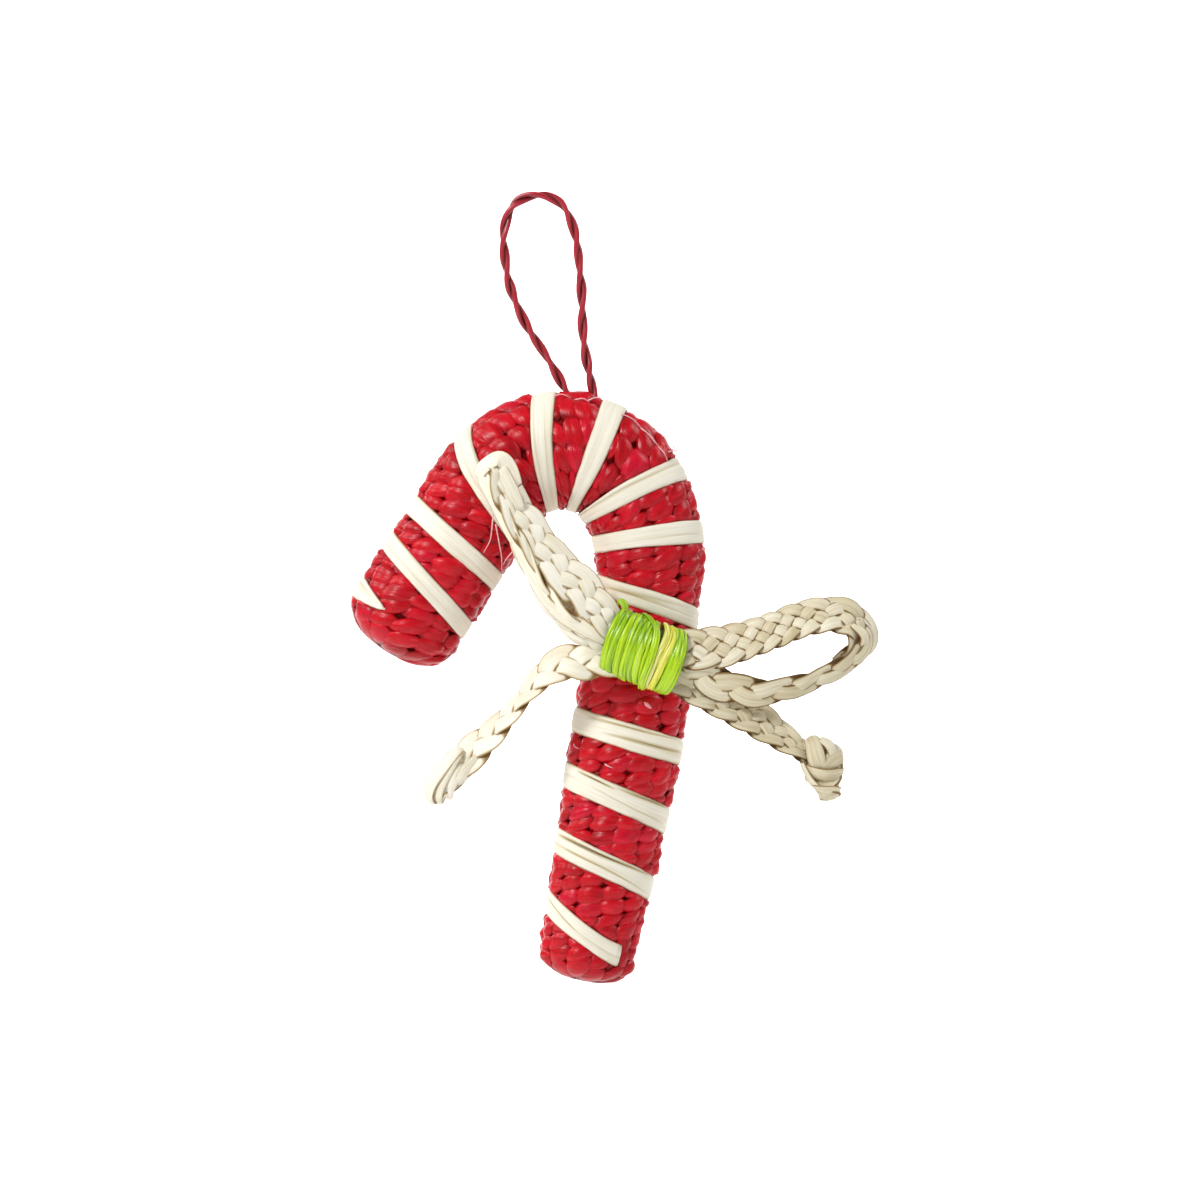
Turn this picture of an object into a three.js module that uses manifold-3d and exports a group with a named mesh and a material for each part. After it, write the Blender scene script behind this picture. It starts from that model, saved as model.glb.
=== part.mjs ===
// Straw candy-cane ornament: a woven straw cane wound with a raffia strip, a bow of flat straw
// plait bound on with green raffia, and a twisted straw loop that it hangs by.
// Millimetres, +Z up, front at -Y. The origin is the inside top of the hanging loop.

import * as THREE from "three";
import { mergeVertices } from "three/addons/utils/BufferGeometryUtils.js";
import Module from "manifold-3d";

const wasm = await Module();
wasm.setup();

// ---------------------------------------------------------------- driving dimensions

// Cane, as a centreline in the XZ plane that starts at the tip of the hook: arcs that meet
// smoothly, after one straight run for the short leg.
const degrees = THREE.MathUtils.degToRad;
const CANE_TIP = { x: -33.8, z: -99.5, heading: degrees(57.3) };
const CANE_RUNS = [
  { name: "short leg", length: 42.1 },
  { name: "crown, leg side", radius: 19.3, turn: degrees(57.3) },
  { name: "crown, shaft side", radius: 17.5, turn: degrees(55) },
  { name: "shoulder", radius: 29, turn: degrees(35) },
  { name: "bend into the shaft", radius: 90, turn: degrees(7.5) },
  { name: "shaft, barely curved", radius: 1180, turn: degrees(4) },
].map((run) => ({ ...run, length: run.length ?? run.radius * run.turn }));
const CANE_LENGTH = CANE_RUNS.reduce((sum, run) => sum + run.length, 0);

// Width of the cane across the front at stations along it, and its thickness front to back.
const CANE_WIDTHS = [
  [0, 24.8], [30, 24.6], [62, 24.8], [93, 23.2], [104, 21.8], [120, 22.8],
  [138, 23.9], [158, 22.4], [178, 20.2], [CANE_LENGTH, 19.4],
];
const THICKNESS_RATIO = 0.85;
const TIP_ROUNDING = 9; // length over which the tip of the hook rounds off
const FOOT_ROUNDING = 6;
const END_SQUARENESS = 2.4; // 2 rounds the ends off as an ellipse, more makes them squarer

// Weave: columns of straw lobes along the cane, each column half a row out of step with the next.
const WEAVE_COLUMNS = 12;
const WEAVE_PHASE = degrees(-10);
const ROW_PITCH = 3.8;
const LOBE_HEIGHT = 0.65;
const LOBE_ROLL = 0.4; // how far each lobe rises and falls along its column, as a share

// Raffia strip: where each turn crosses the inner and the outer side of the cane, along it.
const STRIP_TURNS = [
  [13.5, 21.0], [26.1, 30.6], [36.0, 47.0], [55.3, 59.2], [69.2, 68.5], [78.6, 81.1], [90.0, 91.5],
  [101.9, 107.6], [117.0, 121.6], [133.1, 136.9], [145.5, 152.1], [160.4, 167.2],
];
const STRIP_START = { turn: 0.31, along: 7.8 }; // counted in turns from the first inner crossing
const STRIP_FIRST_OUTER = 9.0;
const STRIP_LAST_INNER = 174.2;
const STRIP_END = { turn: 0.37, along: 182.6 };
const STRIP_WIDTH = 4.2;
const STRIP_FAN = 0.4; // how much of the skin's stretch the strip follows in its width
const STRIP_THICKNESS = 0.6;
const STRIP_SINK = 0.7; // how far the strip bites into the weave
const STRIP_POINT = 0.35; // width of its pointed start, as a share of the full one
const STRIP_STEPS_PER_TURN = 15;
const STRIP_EASE = 0.3; // how much a turn slants as it rounds the cane's sides, from 0 to 1

// Flat straw plait of the bow.
const PLAIT_THICKNESS = 2.6;
const PLAIT_PITCH = 4.6; // from one edge lobe to the next
const EDGE_LOBE = 0.45;
const TILE_SINK = 0.72; // thickness between the raised tiles, as a share of the full one

// Tie: raffia turns round the pinched middle of the bow.
const TIE_CENTRE = { x: 22.5, y: -15.3, z: -99.5 };
const TIE_TILT = degrees(20);
const TIE_LENGTH = 14.8;
const TIE_HALF_HEIGHT = 7.3;
const TIE_HALF_DEPTH = 4.4;
const TIE_WALL = 1.2;
const TIE_TURNS = 8;
const TIE_BEAD = 0.35; // how far each turn stands above the groove beside it
const TIE_SIDES = 14;

// Hanging loop.
const CORD_DIAMETER = 2.2;
const CORD_SIDES = 8;
const LOOP_STEPS = 26;

const GAP = 0.3; // kept between pieces that touch

// ---------------------------------------------------------------- centreline of the cane

/** Where a run of the centreline ends, `length` along it from a start point and heading. */
function follow(start, run, length) {
  if (!run.radius) {
    return {
      x: start.x + length * Math.cos(start.heading),
      z: start.z + length * Math.sin(start.heading),
      heading: start.heading,
    };
  }
  const heading = start.heading - length / run.radius;
  return {
    x: start.x + run.radius * (Math.sin(start.heading) - Math.sin(heading)),
    z: start.z + run.radius * (Math.cos(heading) - Math.cos(start.heading)),
    heading,
  };
}

/** Point and heading of the centreline, at a distance from the tip of the hook. */
function centreline(along) {
  let place = CANE_TIP;
  let left = along;
  for (const run of CANE_RUNS) {
    const last = run === CANE_RUNS[CANE_RUNS.length - 1];
    if (left <= run.length || last) return follow(place, run, left);
    place = follow(place, run, run.length);
    left -= run.length;
  }
  return place;
}

/** Value at `x` on the smooth curve through [x, value] stations. */
function between(stations, x) {
  let i = 1;
  while (i < stations.length - 1 && x > stations[i][0]) i += 1;
  const [x0, v0] = stations[i - 1];
  const [x1, v1] = stations[i];
  const t = THREE.MathUtils.clamp((x - x0) / (x1 - x0), 0, 1);
  return v0 + (v1 - v0) * t * t * (3 - 2 * t);
}

/** How full the section is near the rounded tip and foot: 0 at the very end, 1 along the cane. */
function fullness(along) {
  const endDistance = Math.min(along / TIP_ROUNDING, (CANE_LENGTH - along) / FOOT_ROUNDING, 1);
  const power = END_SQUARENESS;
  return Math.pow(1 - Math.pow(1 - Math.max(endDistance, 0), power), 1 / power);
}

/**
 * Point `lift` above the plain skin of the cane. The turn round the section is 0 at the front
 * and a quarter turn at the outside of the hook.
 */
function canePoint(along, turn, lift) {
  const { x, z, heading } = centreline(along);
  const half = between(CANE_WIDTHS, along) / 2;
  const full = fullness(along);
  const across = (half + lift) * Math.sin(turn) * full;
  const depth = -(half * THICKNESS_RATIO + lift) * Math.cos(turn) * full;
  return new THREE.Vector3(
    x - across * Math.sin(heading),
    depth,
    z + across * Math.cos(heading),
  );
}

// ---------------------------------------------------------------- raffia strip's winding

const FULL_TURN = 2 * Math.PI;
const STRIP_KNOTS = [[STRIP_START.turn - 1, STRIP_START.along], [-0.5, STRIP_FIRST_OUTER]];
STRIP_TURNS.forEach(([inner, outer], i) => STRIP_KNOTS.push([i, inner], [i + 0.5, outer]));
STRIP_KNOTS.push([STRIP_TURNS.length, STRIP_LAST_INNER]);
STRIP_KNOTS.push([STRIP_TURNS.length + STRIP_END.turn, STRIP_END.along]);

/** Distance along the cane of the strip's middle, after `turns` turns from the first inner crossing. */
function stripAlong(turns) {
  const knots = STRIP_KNOTS;
  let i = 1;
  while (i < knots.length - 1 && turns > knots[i][0]) i += 1;
  const slope = (j) => {
    const a = knots[Math.max(j - 1, 0)];
    const b = knots[Math.min(j + 1, knots.length - 1)];
    return (STRIP_EASE * (b[1] - a[1])) / (b[0] - a[0]);
  };
  const [x0, v0] = knots[i - 1];
  const [x1, v1] = knots[i];
  const span = x1 - x0;
  const t = THREE.MathUtils.clamp((turns - x0) / span, 0, 1);
  const t2 = t * t;
  const t3 = t2 * t;
  return (
    (2 * t3 - 3 * t2 + 1) * v0 + (t3 - 2 * t2 + t) * span * slope(i - 1)
    + (3 * t2 - 2 * t3) * v1 + (t3 - t2) * span * slope(i)
  );
}

/** Turn round the section, as canePoint takes it, after `turns` turns of the strip. */
const stripTurn = (turns) => (turns - 0.25) * FULL_TURN;

const STRIP_FIRST = STRIP_KNOTS[0][0];
const STRIP_LAST = STRIP_KNOTS[STRIP_KNOTS.length - 1][0];

/** How much longer the skin is than the centreline there: over 1 outside the hook, under 1 inside. */
function skinStretch(along, turn) {
  const step = 0.25;
  return canePoint(along - step, turn, 0).distanceTo(canePoint(along + step, turn, 0)) / (2 * step);
}

/** Width of the strip there: it fans out on the outside of the hook and bunches on the inside. */
const stripWidth = (stretch) => STRIP_WIDTH * Math.pow(stretch, STRIP_FAN);

/** Clear distance on the skin from a place on the cane to the nearest edge of the strip. */
function clearOfStrip(along, turn) {
  const stretch = skinStretch(along, turn);
  const fraction = turn / FULL_TURN + 0.25;
  const skinRadius = between(CANE_WIDTHS, along) / 2;
  let nearest = Infinity;
  for (let whole = -2; whole <= STRIP_TURNS.length + 1; whole += 1) {
    const turns = fraction + whole;
    const inside = THREE.MathUtils.clamp(turns, STRIP_FIRST, STRIP_LAST);
    const past = Math.abs(turns - inside) * FULL_TURN * skinRadius;
    nearest = Math.min(nearest, Math.hypot((along - stripAlong(inside)) * stretch, past));
  }
  return nearest - stripWidth(stretch) / 2;
}

// ---------------------------------------------------------------- helpers for closed meshes

/** Keeps only the shared positions, so that the surface is one closed shell. */
function weld(geometry) {
  geometry.deleteAttribute("normal");
  geometry.deleteAttribute("uv");
  return mergeVertices(geometry, 1e-4);
}

/** Signed volume of a closed shell: positive where its faces point outwards. */
function signedVolume(geometry) {
  const position = geometry.getAttribute("position");
  const index = geometry.getIndex();
  const [a, b, c] = [0, 1, 2].map(() => new THREE.Vector3());
  let volume = 0;
  for (let i = 0; i < index.count; i += 3) {
    a.fromBufferAttribute(position, index.getX(i));
    b.fromBufferAttribute(position, index.getX(i + 1));
    c.fromBufferAttribute(position, index.getX(i + 2));
    volume += a.dot(b.cross(c)) / 6;
  }
  return volume;
}

/** Turns a closed shell's faces outwards where a mirrored mapping has turned them in. */
function faceOutwards(geometry) {
  if (signedVolume(geometry) >= 0) return geometry;
  const index = geometry.getIndex();
  for (let i = 0; i < index.count; i += 3) {
    const first = index.getX(i);
    index.setX(i, index.getX(i + 1));
    index.setX(i + 1, first);
  }
  return geometry;
}

/** Moves every vertex to where `place(x, y, z)` puts it. */
function reshape(geometry, place) {
  const welded = weld(geometry);
  const position = welded.getAttribute("position");
  for (let i = 0; i < position.count; i += 1) {
    const p = place(position.getX(i), position.getY(i), position.getZ(i));
    position.setXYZ(i, p.x, p.y, p.z);
  }
  return faceOutwards(welded);
}

function toManifold(geometry) {
  return new wasm.Manifold(new wasm.Mesh({
    numProp: 3,
    vertProperties: new Float32Array(geometry.getAttribute("position").array),
    triVerts: new Uint32Array(geometry.getIndex().array),
  }));
}

function fromManifold(solid) {
  const mesh = solid.getMesh();
  const geometry = new THREE.BufferGeometry();
  geometry.setAttribute("position", new THREE.BufferAttribute(new Float32Array(mesh.vertProperties), 3));
  geometry.setIndex(new THREE.BufferAttribute(new Uint32Array(mesh.triVerts), 1));
  return geometry;
}

function makeMesh(name, geometry, color, roughness) {
  geometry.computeVertexNormals();
  const material = new THREE.MeshStandardMaterial({ color, roughness, metalness: 0 });
  const mesh = new THREE.Mesh(geometry, material);
  mesh.name = name;
  return mesh;
}

// ---------------------------------------------------------------- woven cane

/** Height of the weave's lobes over the plain skin, pressed flat under the strip. */
function weaveLift(along, turn) {
  const column = ((turn - WEAVE_PHASE) / FULL_TURN) * WEAVE_COLUMNS;
  const nearestColumn = Math.round(column);
  const row = along / ROW_PITCH - nearestColumn / 2;
  const acrossLobe = Math.cos((column - nearestColumn) * Math.PI);
  const alongLobe = 1 - LOBE_ROLL + LOBE_ROLL * Math.cos(row * FULL_TURN);
  const lobe = LOBE_HEIGHT * (2 * acrossLobe * alongLobe - 1);
  const free = THREE.MathUtils.smoothstep(clearOfStrip(along, turn), ROW_PITCH * 0.3, ROW_PITCH * 0.6);
  return THREE.MathUtils.lerp(-STRIP_SINK - GAP, lobe, free);
}

function makeWovenCane() {
  const rings = Math.round((CANE_LENGTH / ROW_PITCH) * 2);
  const sphere = new THREE.SphereGeometry(1, WEAVE_COLUMNS * 2, rings);
  return reshape(sphere, (x, y, z) => {
    const pole = Math.hypot(x, z) < 1e-6;
    const along = (Math.acos(THREE.MathUtils.clamp(y, -1, 1)) / Math.PI) * CANE_LENGTH;
    const turn = pole ? 0 : WEAVE_PHASE - Math.atan2(z, x);
    return canePoint(along, turn, pole ? 0 : weaveLift(along, turn));
  });
}

// ---------------------------------------------------------------- wound raffia strip

function makeWoundStrip() {
  const steps = Math.round((STRIP_LAST - STRIP_FIRST) * STRIP_STEPS_PER_TURN);
  const bar = new THREE.BoxGeometry(1, 1, 1, 1, 1, steps);
  return reshape(bar, (x, y, z) => {
    const fraction = z + 0.5;
    const turns = STRIP_FIRST + fraction * (STRIP_LAST - STRIP_FIRST);
    const along = stripAlong(turns);
    const stretch = skinStretch(along, stripTurn(turns));
    const tapered = THREE.MathUtils.lerp(STRIP_POINT, 1, THREE.MathUtils.smoothstep(fraction * steps, 0, 3));
    const lift = GAP - STRIP_SINK + STRIP_THICKNESS * (y + 0.5);
    return canePoint(along + (x * stripWidth(stretch) * tapered) / stretch, stripTurn(turns), lift);
  });
}

// ---------------------------------------------------------------- plaited bow

// Runs of plait as [x, y, z, width, tilt in degrees]. At no tilt the plait's face is to the front;
// tilting it turns its edge to the front, with the side outside of the loop going to the back.
const RIGHT_LOOP = [
  [24, -15.6, -98.3, 6.8, 15], [32, -16.2, -98.9, 8, 22], [39.7, -15.6, -98.4, 9.6, 28],
  [45.2, -15.2, -97.4, 10, 30], [51.2, -14.8, -96, 10.4, 30], [57.4, -14.4, -93.6, 10.6, 31],
  [63.2, -14, -92.1, 10.4, 34], [68.6, -13.4, -92.8, 10, 38], [70.8, -13.2, -96.4, 9.4, 44],
  [68.2, -13.6, -100.6, 9.4, 54], [63.4, -14.4, -103.6, 9.4, 62], [58.5, -15, -105.9, 9.4, 64],
  [53, -15.4, -107.5, 9.4, 62], [47.5, -15.8, -107.6, 9, 55], [40.8, -15.8, -106.3, 8.4, 45],
  [34.2, -15.6, -104, 7, 34], [26, -15.2, -101.3, 5.4, 20],
];
const LEFT_LOOP = [
  [22, -15.4, -98, 5, 15], [15, -16.6, -92.8, 7, 26], [10.2, -17, -85.6, 8.6, 32],
  [3.5, -17, -78.4, 9, 34], [-3, -17, -69, 9, 36], [-7.6, -16.8, -61.8, 8.6, 40],
  [-10, -16.4, -58.2, 7.8, 50], [-13, -15.8, -58.8, 7.2, 62], [-13.4, -15.4, -62.4, 7.2, 70],
  [-10.2, -15.6, -67.7, 7.6, 72], [-6.4, -15.9, -72.8, 7.8, 70], [-3.8, -16.1, -77.9, 8.2, 68],
  [-0.5, -16.2, -83.4, 8.6, 66], [2.9, -16.2, -88.3, 8.8, 64], [7.6, -16, -93.8, 8, 56],
  [13.6, -15.4, -97.8, 6.6, 40], [22, -15, -100, 4.8, 20],
];
const LEFT_TAIL = [
  [22, -15, -101.2, 5, 20], [13.2, -15, -101.6, 7.8, 28], [7.6, -14.8, -101.8, 9, 34],
  [2.9, -14.6, -103.2, 9, 44], [-1.1, -14.4, -106.8, 8.6, 60], [-4.6, -14, -110.8, 8.2, 66],
  [-8.2, -13.6, -115, 8.4, 58], [-12.3, -13.2, -119.2, 8.6, 44], [-17, -12.8, -123.8, 8.2, 34],
  [-21.2, -12.6, -128.4, 7.4, 32], [-23.2, -12.6, -131, 6, 32],
];
const RIGHT_TAIL = [
  [25, -15, -102.6, 5, 20], [29.8, -14.4, -105.3, 6.4, 22], [35.3, -13.4, -108.2, 7.8, 26],
  [40.8, -12.4, -110.8, 8.8, 30], [46.3, -12, -113.8, 9, 34], [50.3, -12, -116.3, 8.8, 36],
  [54.1, -12.2, -119, 7.2, 40], [59, -12.6, -122.2, 5.6, 46],
];

/** Sweeps the flat plait along a run of stations; `outside` is +1 or -1, the loop's outer side. */
function plaitRun(stations, outside) {
  const spine = new THREE.CatmullRomCurve3(stations.map(([x, y, z]) => new THREE.Vector3(x, y, z)));
  const steps = Math.round((spine.getLength() / PLAIT_PITCH) * 2);
  const sides = 6;
  const prism = new THREE.CylinderGeometry(1, 1, 1, sides, steps);
  const runs = stations.length - 1;
  return reshape(prism, (px, py, pz) => {
    const fraction = THREE.MathUtils.clamp(0.5 - py, 0, 1);
    const t = spine.getUtoTmapping(fraction);
    const centre = spine.getPoint(t);
    const ahead = spine.getTangent(t);
    const widths = stations.map((s, i) => [i / runs, s[3]]);
    const tilts = stations.map((s, i) => [i / runs, degrees(s[4])]);
    const width = between(widths, t);
    const tilt = between(tilts, t);
    const sideways = new THREE.Vector3(-ahead.z, 0, ahead.x).normalize().multiplyScalar(outside);
    const across = sideways.clone().multiplyScalar(Math.cos(tilt));
    across.y += Math.sin(tilt);
    const face = new THREE.Vector3().crossVectors(ahead, across).normalize();
    if (Math.hypot(px, pz) < 1e-6) return centre;
    // The hexagon's corners with no px are the plait's edges, scalloped in turn left and right.
    const high = (Math.round(fraction * steps) + (pz > 0 ? 1 : 0)) % 2 === 1;
    const edge = Math.abs(px) < 1e-6;
    const reach = edge ? width / 2 + (high ? EDGE_LOBE : -EDGE_LOBE) : width / 4;
    const rise = edge ? 0 : (PLAIT_THICKNESS / 2) * (high ? 1 : TILE_SINK);
    return centre
      .addScaledVector(across, Math.sign(pz) * reach)
      .addScaledVector(face, Math.sign(px) * rise);
  });
}

// Balls of folded plait: centre, half width, half depth, half height, and lean in degrees.
const KNOTS = [
  [61.8, -12.8, -122.8, 4.6, 3.9, 4.0, 30],
  [63.4, -12.8, -127.8, 3.9, 2.9, 5.2, -14],
  [-23, -12.6, -130.8, 2.7, 2.0, 2.9, 35],
];
const KNOT_LUMP = 0.09;

/** One ball of folded plait, lumpy where the strands cross. */
function makeKnot([x, y, z, wide, deep, tall, lean]) {
  const ball = new THREE.SphereGeometry(1, 9, 6);
  const turn = new THREE.Matrix4().makeRotationY(degrees(lean));
  return reshape(ball, (px, py, pz) => {
    const lump = 1 + KNOT_LUMP * Math.sin(5 * Math.atan2(pz, px) + 4 * py);
    const p = new THREE.Vector3(px * wide * lump, pz * deep * lump, py * tall).applyMatrix4(turn);
    return p.add(new THREE.Vector3(x, y, z));
  });
}

/** Puts a shape made round the X axis into the tilted middle of the bow. */
function atTie(geometry) {
  geometry.rotateY(TIE_TILT);
  geometry.translate(TIE_CENTRE.x, TIE_CENTRE.y, TIE_CENTRE.z);
  return geometry;
}

/** Oval ring round the X axis, squeezed front to back, with a raised bead for each turn. */
function tieRing(outer, inner, length, turns, bead) {
  const steps = turns * 2;
  const profile = [];
  for (let i = 0; i <= steps; i += 1) {
    profile.push(new THREE.Vector2(i % 2 ? outer : outer - bead, -length / 2 + (length * i) / steps));
  }
  profile.push(new THREE.Vector2(inner, length / 2), new THREE.Vector2(inner, -length / 2));
  profile.push(profile[0].clone());
  const ring = weld(new THREE.LatheGeometry(profile, TIE_SIDES));
  ring.rotateZ(-Math.PI / 2);
  ring.scale(1, TIE_HALF_DEPTH / TIE_HALF_HEIGHT, 1);
  return atTie(faceOutwards(ring));
}

function makeRaffiaTie() {
  return tieRing(TIE_HALF_HEIGHT, TIE_HALF_HEIGHT - TIE_WALL, TIE_LENGTH, TIE_TURNS, TIE_BEAD);
}

function makePlaitedBow() {
  const inside = TIE_HALF_HEIGHT - TIE_WALL - GAP;
  const middle = weld(new THREE.CylinderGeometry(inside, inside, TIE_LENGTH - 2, TIE_SIDES, 1));
  middle.rotateZ(-Math.PI / 2);
  middle.scale(1, TIE_HALF_DEPTH / TIE_HALF_HEIGHT, 1);
  const pieces = [
    atTie(middle),
    plaitRun(RIGHT_LOOP, 1),
    plaitRun(LEFT_LOOP, -1),
    plaitRun(LEFT_TAIL, -1),
    plaitRun(RIGHT_TAIL, 1),
    ...KNOTS.map(makeKnot),
  ];
  const bow = pieces.map(toManifold).reduce((whole, piece) => whole.add(piece));
  const around = TIE_HALF_HEIGHT * 2; // takes off every strand that would run outside the tie
  const clearance = tieRing(around, inside, TIE_LENGTH + 2 * GAP, 1, 0);
  // Slivers that the cut leaves free are dropped: the bow is the one large body.
  const bodies = bow.subtract(toManifold(clearance)).decompose();
  return fromManifold(bodies.reduce((a, b) => (a.volume() > b.volume() ? a : b)));
}

// ---------------------------------------------------------------- hanging loop

const LOOP_ROUTE = [
  [5.6, -42], [4.2, -39.4], [1.3, -34.4], [-2.2, -29.1], [-4.9, -23.8], [-6.8, -18.5], [-7.7, -13.2],
  [-8.1, -7.9], [-6.8, -2.6], [-4.3, 0.1], [0, 1.1], [3.8, -0.2], [6, -2.8], [7.8, -7.9], [8.5, -13.2],
  [9, -18.5], [9.3, -23.8], [9.4, -29.1], [10.1, -34.4], [11.1, -39.5], [11.6, -41.9],
];

function makeHangingLoop() {
  const route = new THREE.CatmullRomCurve3(LOOP_ROUTE.map(([x, z]) => new THREE.Vector3(x, 0, z)));
  const section = new THREE.Shape();
  for (let i = 0; i < CORD_SIDES; i += 1) {
    const angle = ((i + 0.5) / CORD_SIDES) * FULL_TURN;
    const corner = [(CORD_DIAMETER / 2) * Math.cos(angle), (CORD_DIAMETER / 2) * Math.sin(angle)];
    if (i === 0) section.moveTo(...corner);
    else section.lineTo(...corner);
  }
  section.closePath();
  const settings = { steps: LOOP_STEPS, extrudePath: route, curveSegments: 1 };
  return weld(new THREE.ExtrudeGeometry(section, settings));
}

// ---------------------------------------------------------------- assembly

const ornament = new THREE.Group();
ornament.add(makeMesh("woven_cane", makeWovenCane(), 0xc51d2f, 0.45));
ornament.add(makeMesh("wound_strip", makeWoundStrip(), 0xe8e0cc, 0.6));
ornament.add(makeMesh("plaited_bow", makePlaitedBow(), 0xe4dac2, 0.65));
ornament.add(makeMesh("raffia_tie", makeRaffiaTie(), 0x9fd41f, 0.4));
ornament.add(makeMesh("hanging_loop", makeHangingLoop(), 0xa81e2d, 0.45));

export default ornament;
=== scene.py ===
# %% [markdown]
# # A woven straw candy cane
# This ornament is plaited and woven from straw: a cane of fat red lobes, a pale raffia strip wound
# round it, a bow of flat plait bound on with green raffia, and a twisted cord to hang it by.
# Almost everything here is one thing seen many times, a single straw: long, flattened, creased
# along its length and bent where it is tucked under the next. So the lesson makes one blank straw
# and lays it hundreds of times, each time along another path.

import math
import random
from functools import lru_cache

import bmesh
import bpy
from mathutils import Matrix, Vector, noise


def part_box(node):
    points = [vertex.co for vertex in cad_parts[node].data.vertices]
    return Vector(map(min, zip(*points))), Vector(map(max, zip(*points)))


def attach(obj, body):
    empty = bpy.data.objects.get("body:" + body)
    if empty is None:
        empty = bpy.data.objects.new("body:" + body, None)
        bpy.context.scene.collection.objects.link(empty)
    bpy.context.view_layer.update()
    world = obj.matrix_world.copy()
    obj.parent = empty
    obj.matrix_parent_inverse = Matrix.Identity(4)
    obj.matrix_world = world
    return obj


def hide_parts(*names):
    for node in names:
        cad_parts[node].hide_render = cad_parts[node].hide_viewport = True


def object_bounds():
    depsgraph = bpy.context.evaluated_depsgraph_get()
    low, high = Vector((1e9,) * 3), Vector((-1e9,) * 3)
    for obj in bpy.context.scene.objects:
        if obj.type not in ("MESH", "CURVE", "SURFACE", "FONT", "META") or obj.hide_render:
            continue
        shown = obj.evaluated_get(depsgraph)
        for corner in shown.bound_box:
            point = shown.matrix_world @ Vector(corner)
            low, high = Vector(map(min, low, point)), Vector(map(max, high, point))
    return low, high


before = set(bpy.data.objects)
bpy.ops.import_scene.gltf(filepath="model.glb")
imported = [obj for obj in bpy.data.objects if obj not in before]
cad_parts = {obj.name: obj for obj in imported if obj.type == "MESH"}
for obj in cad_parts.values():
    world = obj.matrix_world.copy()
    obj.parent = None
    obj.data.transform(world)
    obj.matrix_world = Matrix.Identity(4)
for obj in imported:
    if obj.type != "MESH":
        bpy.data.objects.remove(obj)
cad_low, cad_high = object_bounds()
MM = 0.001
print("CAD box in mm:", [round(side / MM, 1) for side in cad_high - cad_low])

# %% [markdown]
# ## Camera
# The ornament hangs flat, so it is seen straight from the front. A long lens from two metres away
# keeps the near bow and the far edge of the cane at one scale, as a shop's product view does.

# %% A long lens, straight in front
VIEW_CENTRE = Vector((13.2, 0.0, -88.3)) * MM
VIEW_WIDTH = 264.9 * MM
LENS = 300.0
SENSOR = 36.0
camera_data = bpy.data.cameras.new("front_camera")
camera_data.lens = LENS
camera_data.sensor_width = SENSOR
camera = bpy.data.objects.new("front_camera", camera_data)
camera.location = VIEW_CENTRE + Vector((0.0, -VIEW_WIDTH * LENS / SENSOR, 0.0))
camera.rotation_euler = (math.radians(90), 0.0, 0.0)
bpy.context.collection.objects.link(camera)
bpy.context.scene.camera = camera
print("camera stands", round(-camera.location.y, 2), "m in front")

# %% [markdown]
# ## One blank straw
# A straw could be a curve with a bevel, but a curve's section can't swell, flatten and dip on the
# way. So the blank is a cone operator's closed tube, cut into rings along its length. Laying it
# moves each of its points: `place` gets how far round and how far along the point is, and says
# where it goes. Every point also keeps its grain, the distance across and along the straw in
# millimetres and the straw's number, so that a material can draw fibres that follow each straw.

# %% Blank straw and how to lay it
GRAIN = "grain"
# The height layer holds painted shade: 1 is unshaded and 0 is the darkest shade in the crease colours.
PAINTED_SHADE = "height"


def new_straw_work():
    """An empty bmesh that can take straws, with the layers that their materials read."""
    work = bmesh.new()
    work.verts.layers.float_vector.new(GRAIN)
    work.verts.layers.float.new(PAINTED_SHADE)
    return work


@lru_cache(maxsize=None)
def straw_blank(sides, rings):
    """A straight closed tube of unit radius and unit length, cut into rings."""
    blank = new_straw_work()
    bmesh.ops.create_cone(blank, cap_ends=True, segments=sides, radius1=1, radius2=1, depth=1)
    lengthwise = [e for e in blank.edges if abs(e.verts[0].co.z - e.verts[1].co.z) > 0.5]
    bmesh.ops.subdivide_edges(blank, edges=lengthwise, cuts=rings - 1)
    mesh = bpy.data.meshes.new("straw_blank")
    blank.to_mesh(mesh)
    blank.free()
    return mesh


def lay_straw(work, sides, rings, place, number):
    """Adds a straw. place(around, along) gives a point, its grain across and along, and its painted shade.
    """
    blank = straw_blank(sides, rings)
    first = len(work.verts)
    work.from_mesh(blank)
    work.verts.ensure_lookup_table()
    grain = work.verts.layers.float_vector[GRAIN]
    height = work.verts.layers.float[PAINTED_SHADE]
    for vert in work.verts[first:]:
        around = math.atan2(vert.co.y, vert.co.x)
        point, across_mm, along_mm, rise = place(around, vert.co.z + 0.5)
        vert.co = point
        vert[grain] = (across_mm, along_mm, number)
        vert[height] = rise


def finish_piece(work, name, material, node):
    """Turns the laid straws into a named piece that stands for a CAD node."""
    bmesh.ops.recalc_face_normals(work, faces=work.faces)
    mesh = bpy.data.meshes.new(name)
    work.to_mesh(mesh)
    work.free()
    for polygon in mesh.polygons:
        polygon.use_smooth = True
    mesh.materials.append(material)
    piece = bpy.data.objects.new(name, mesh)
    bpy.context.collection.objects.link(piece)
    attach(piece, "root")
    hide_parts(node)
    triangles = sum(len(p.vertices) - 2 for p in mesh.polygons)
    print(name, "has", triangles, "triangles")
    return piece


# %% [markdown]
# ## Paths
# Straws follow smooth curves through a few given points. A Catmull-Rom curve passes through every point it
# is given, so each point is a place on the real ornament. The curve is then cut into even steps, because a
# plait has to keep its pitch.

# %% Smooth runs through points
CUTS_PER_GAP = 24


def catmull(a, b, c, d, t):
    """Value between b and c on the smooth curve through four values."""
    return 0.5 * (
        2 * b + (c - a) * t + (2 * a - 5 * b + 4 * c - d) * t * t + (3 * b - a - 3 * c + d) * t**3
    )


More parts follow.
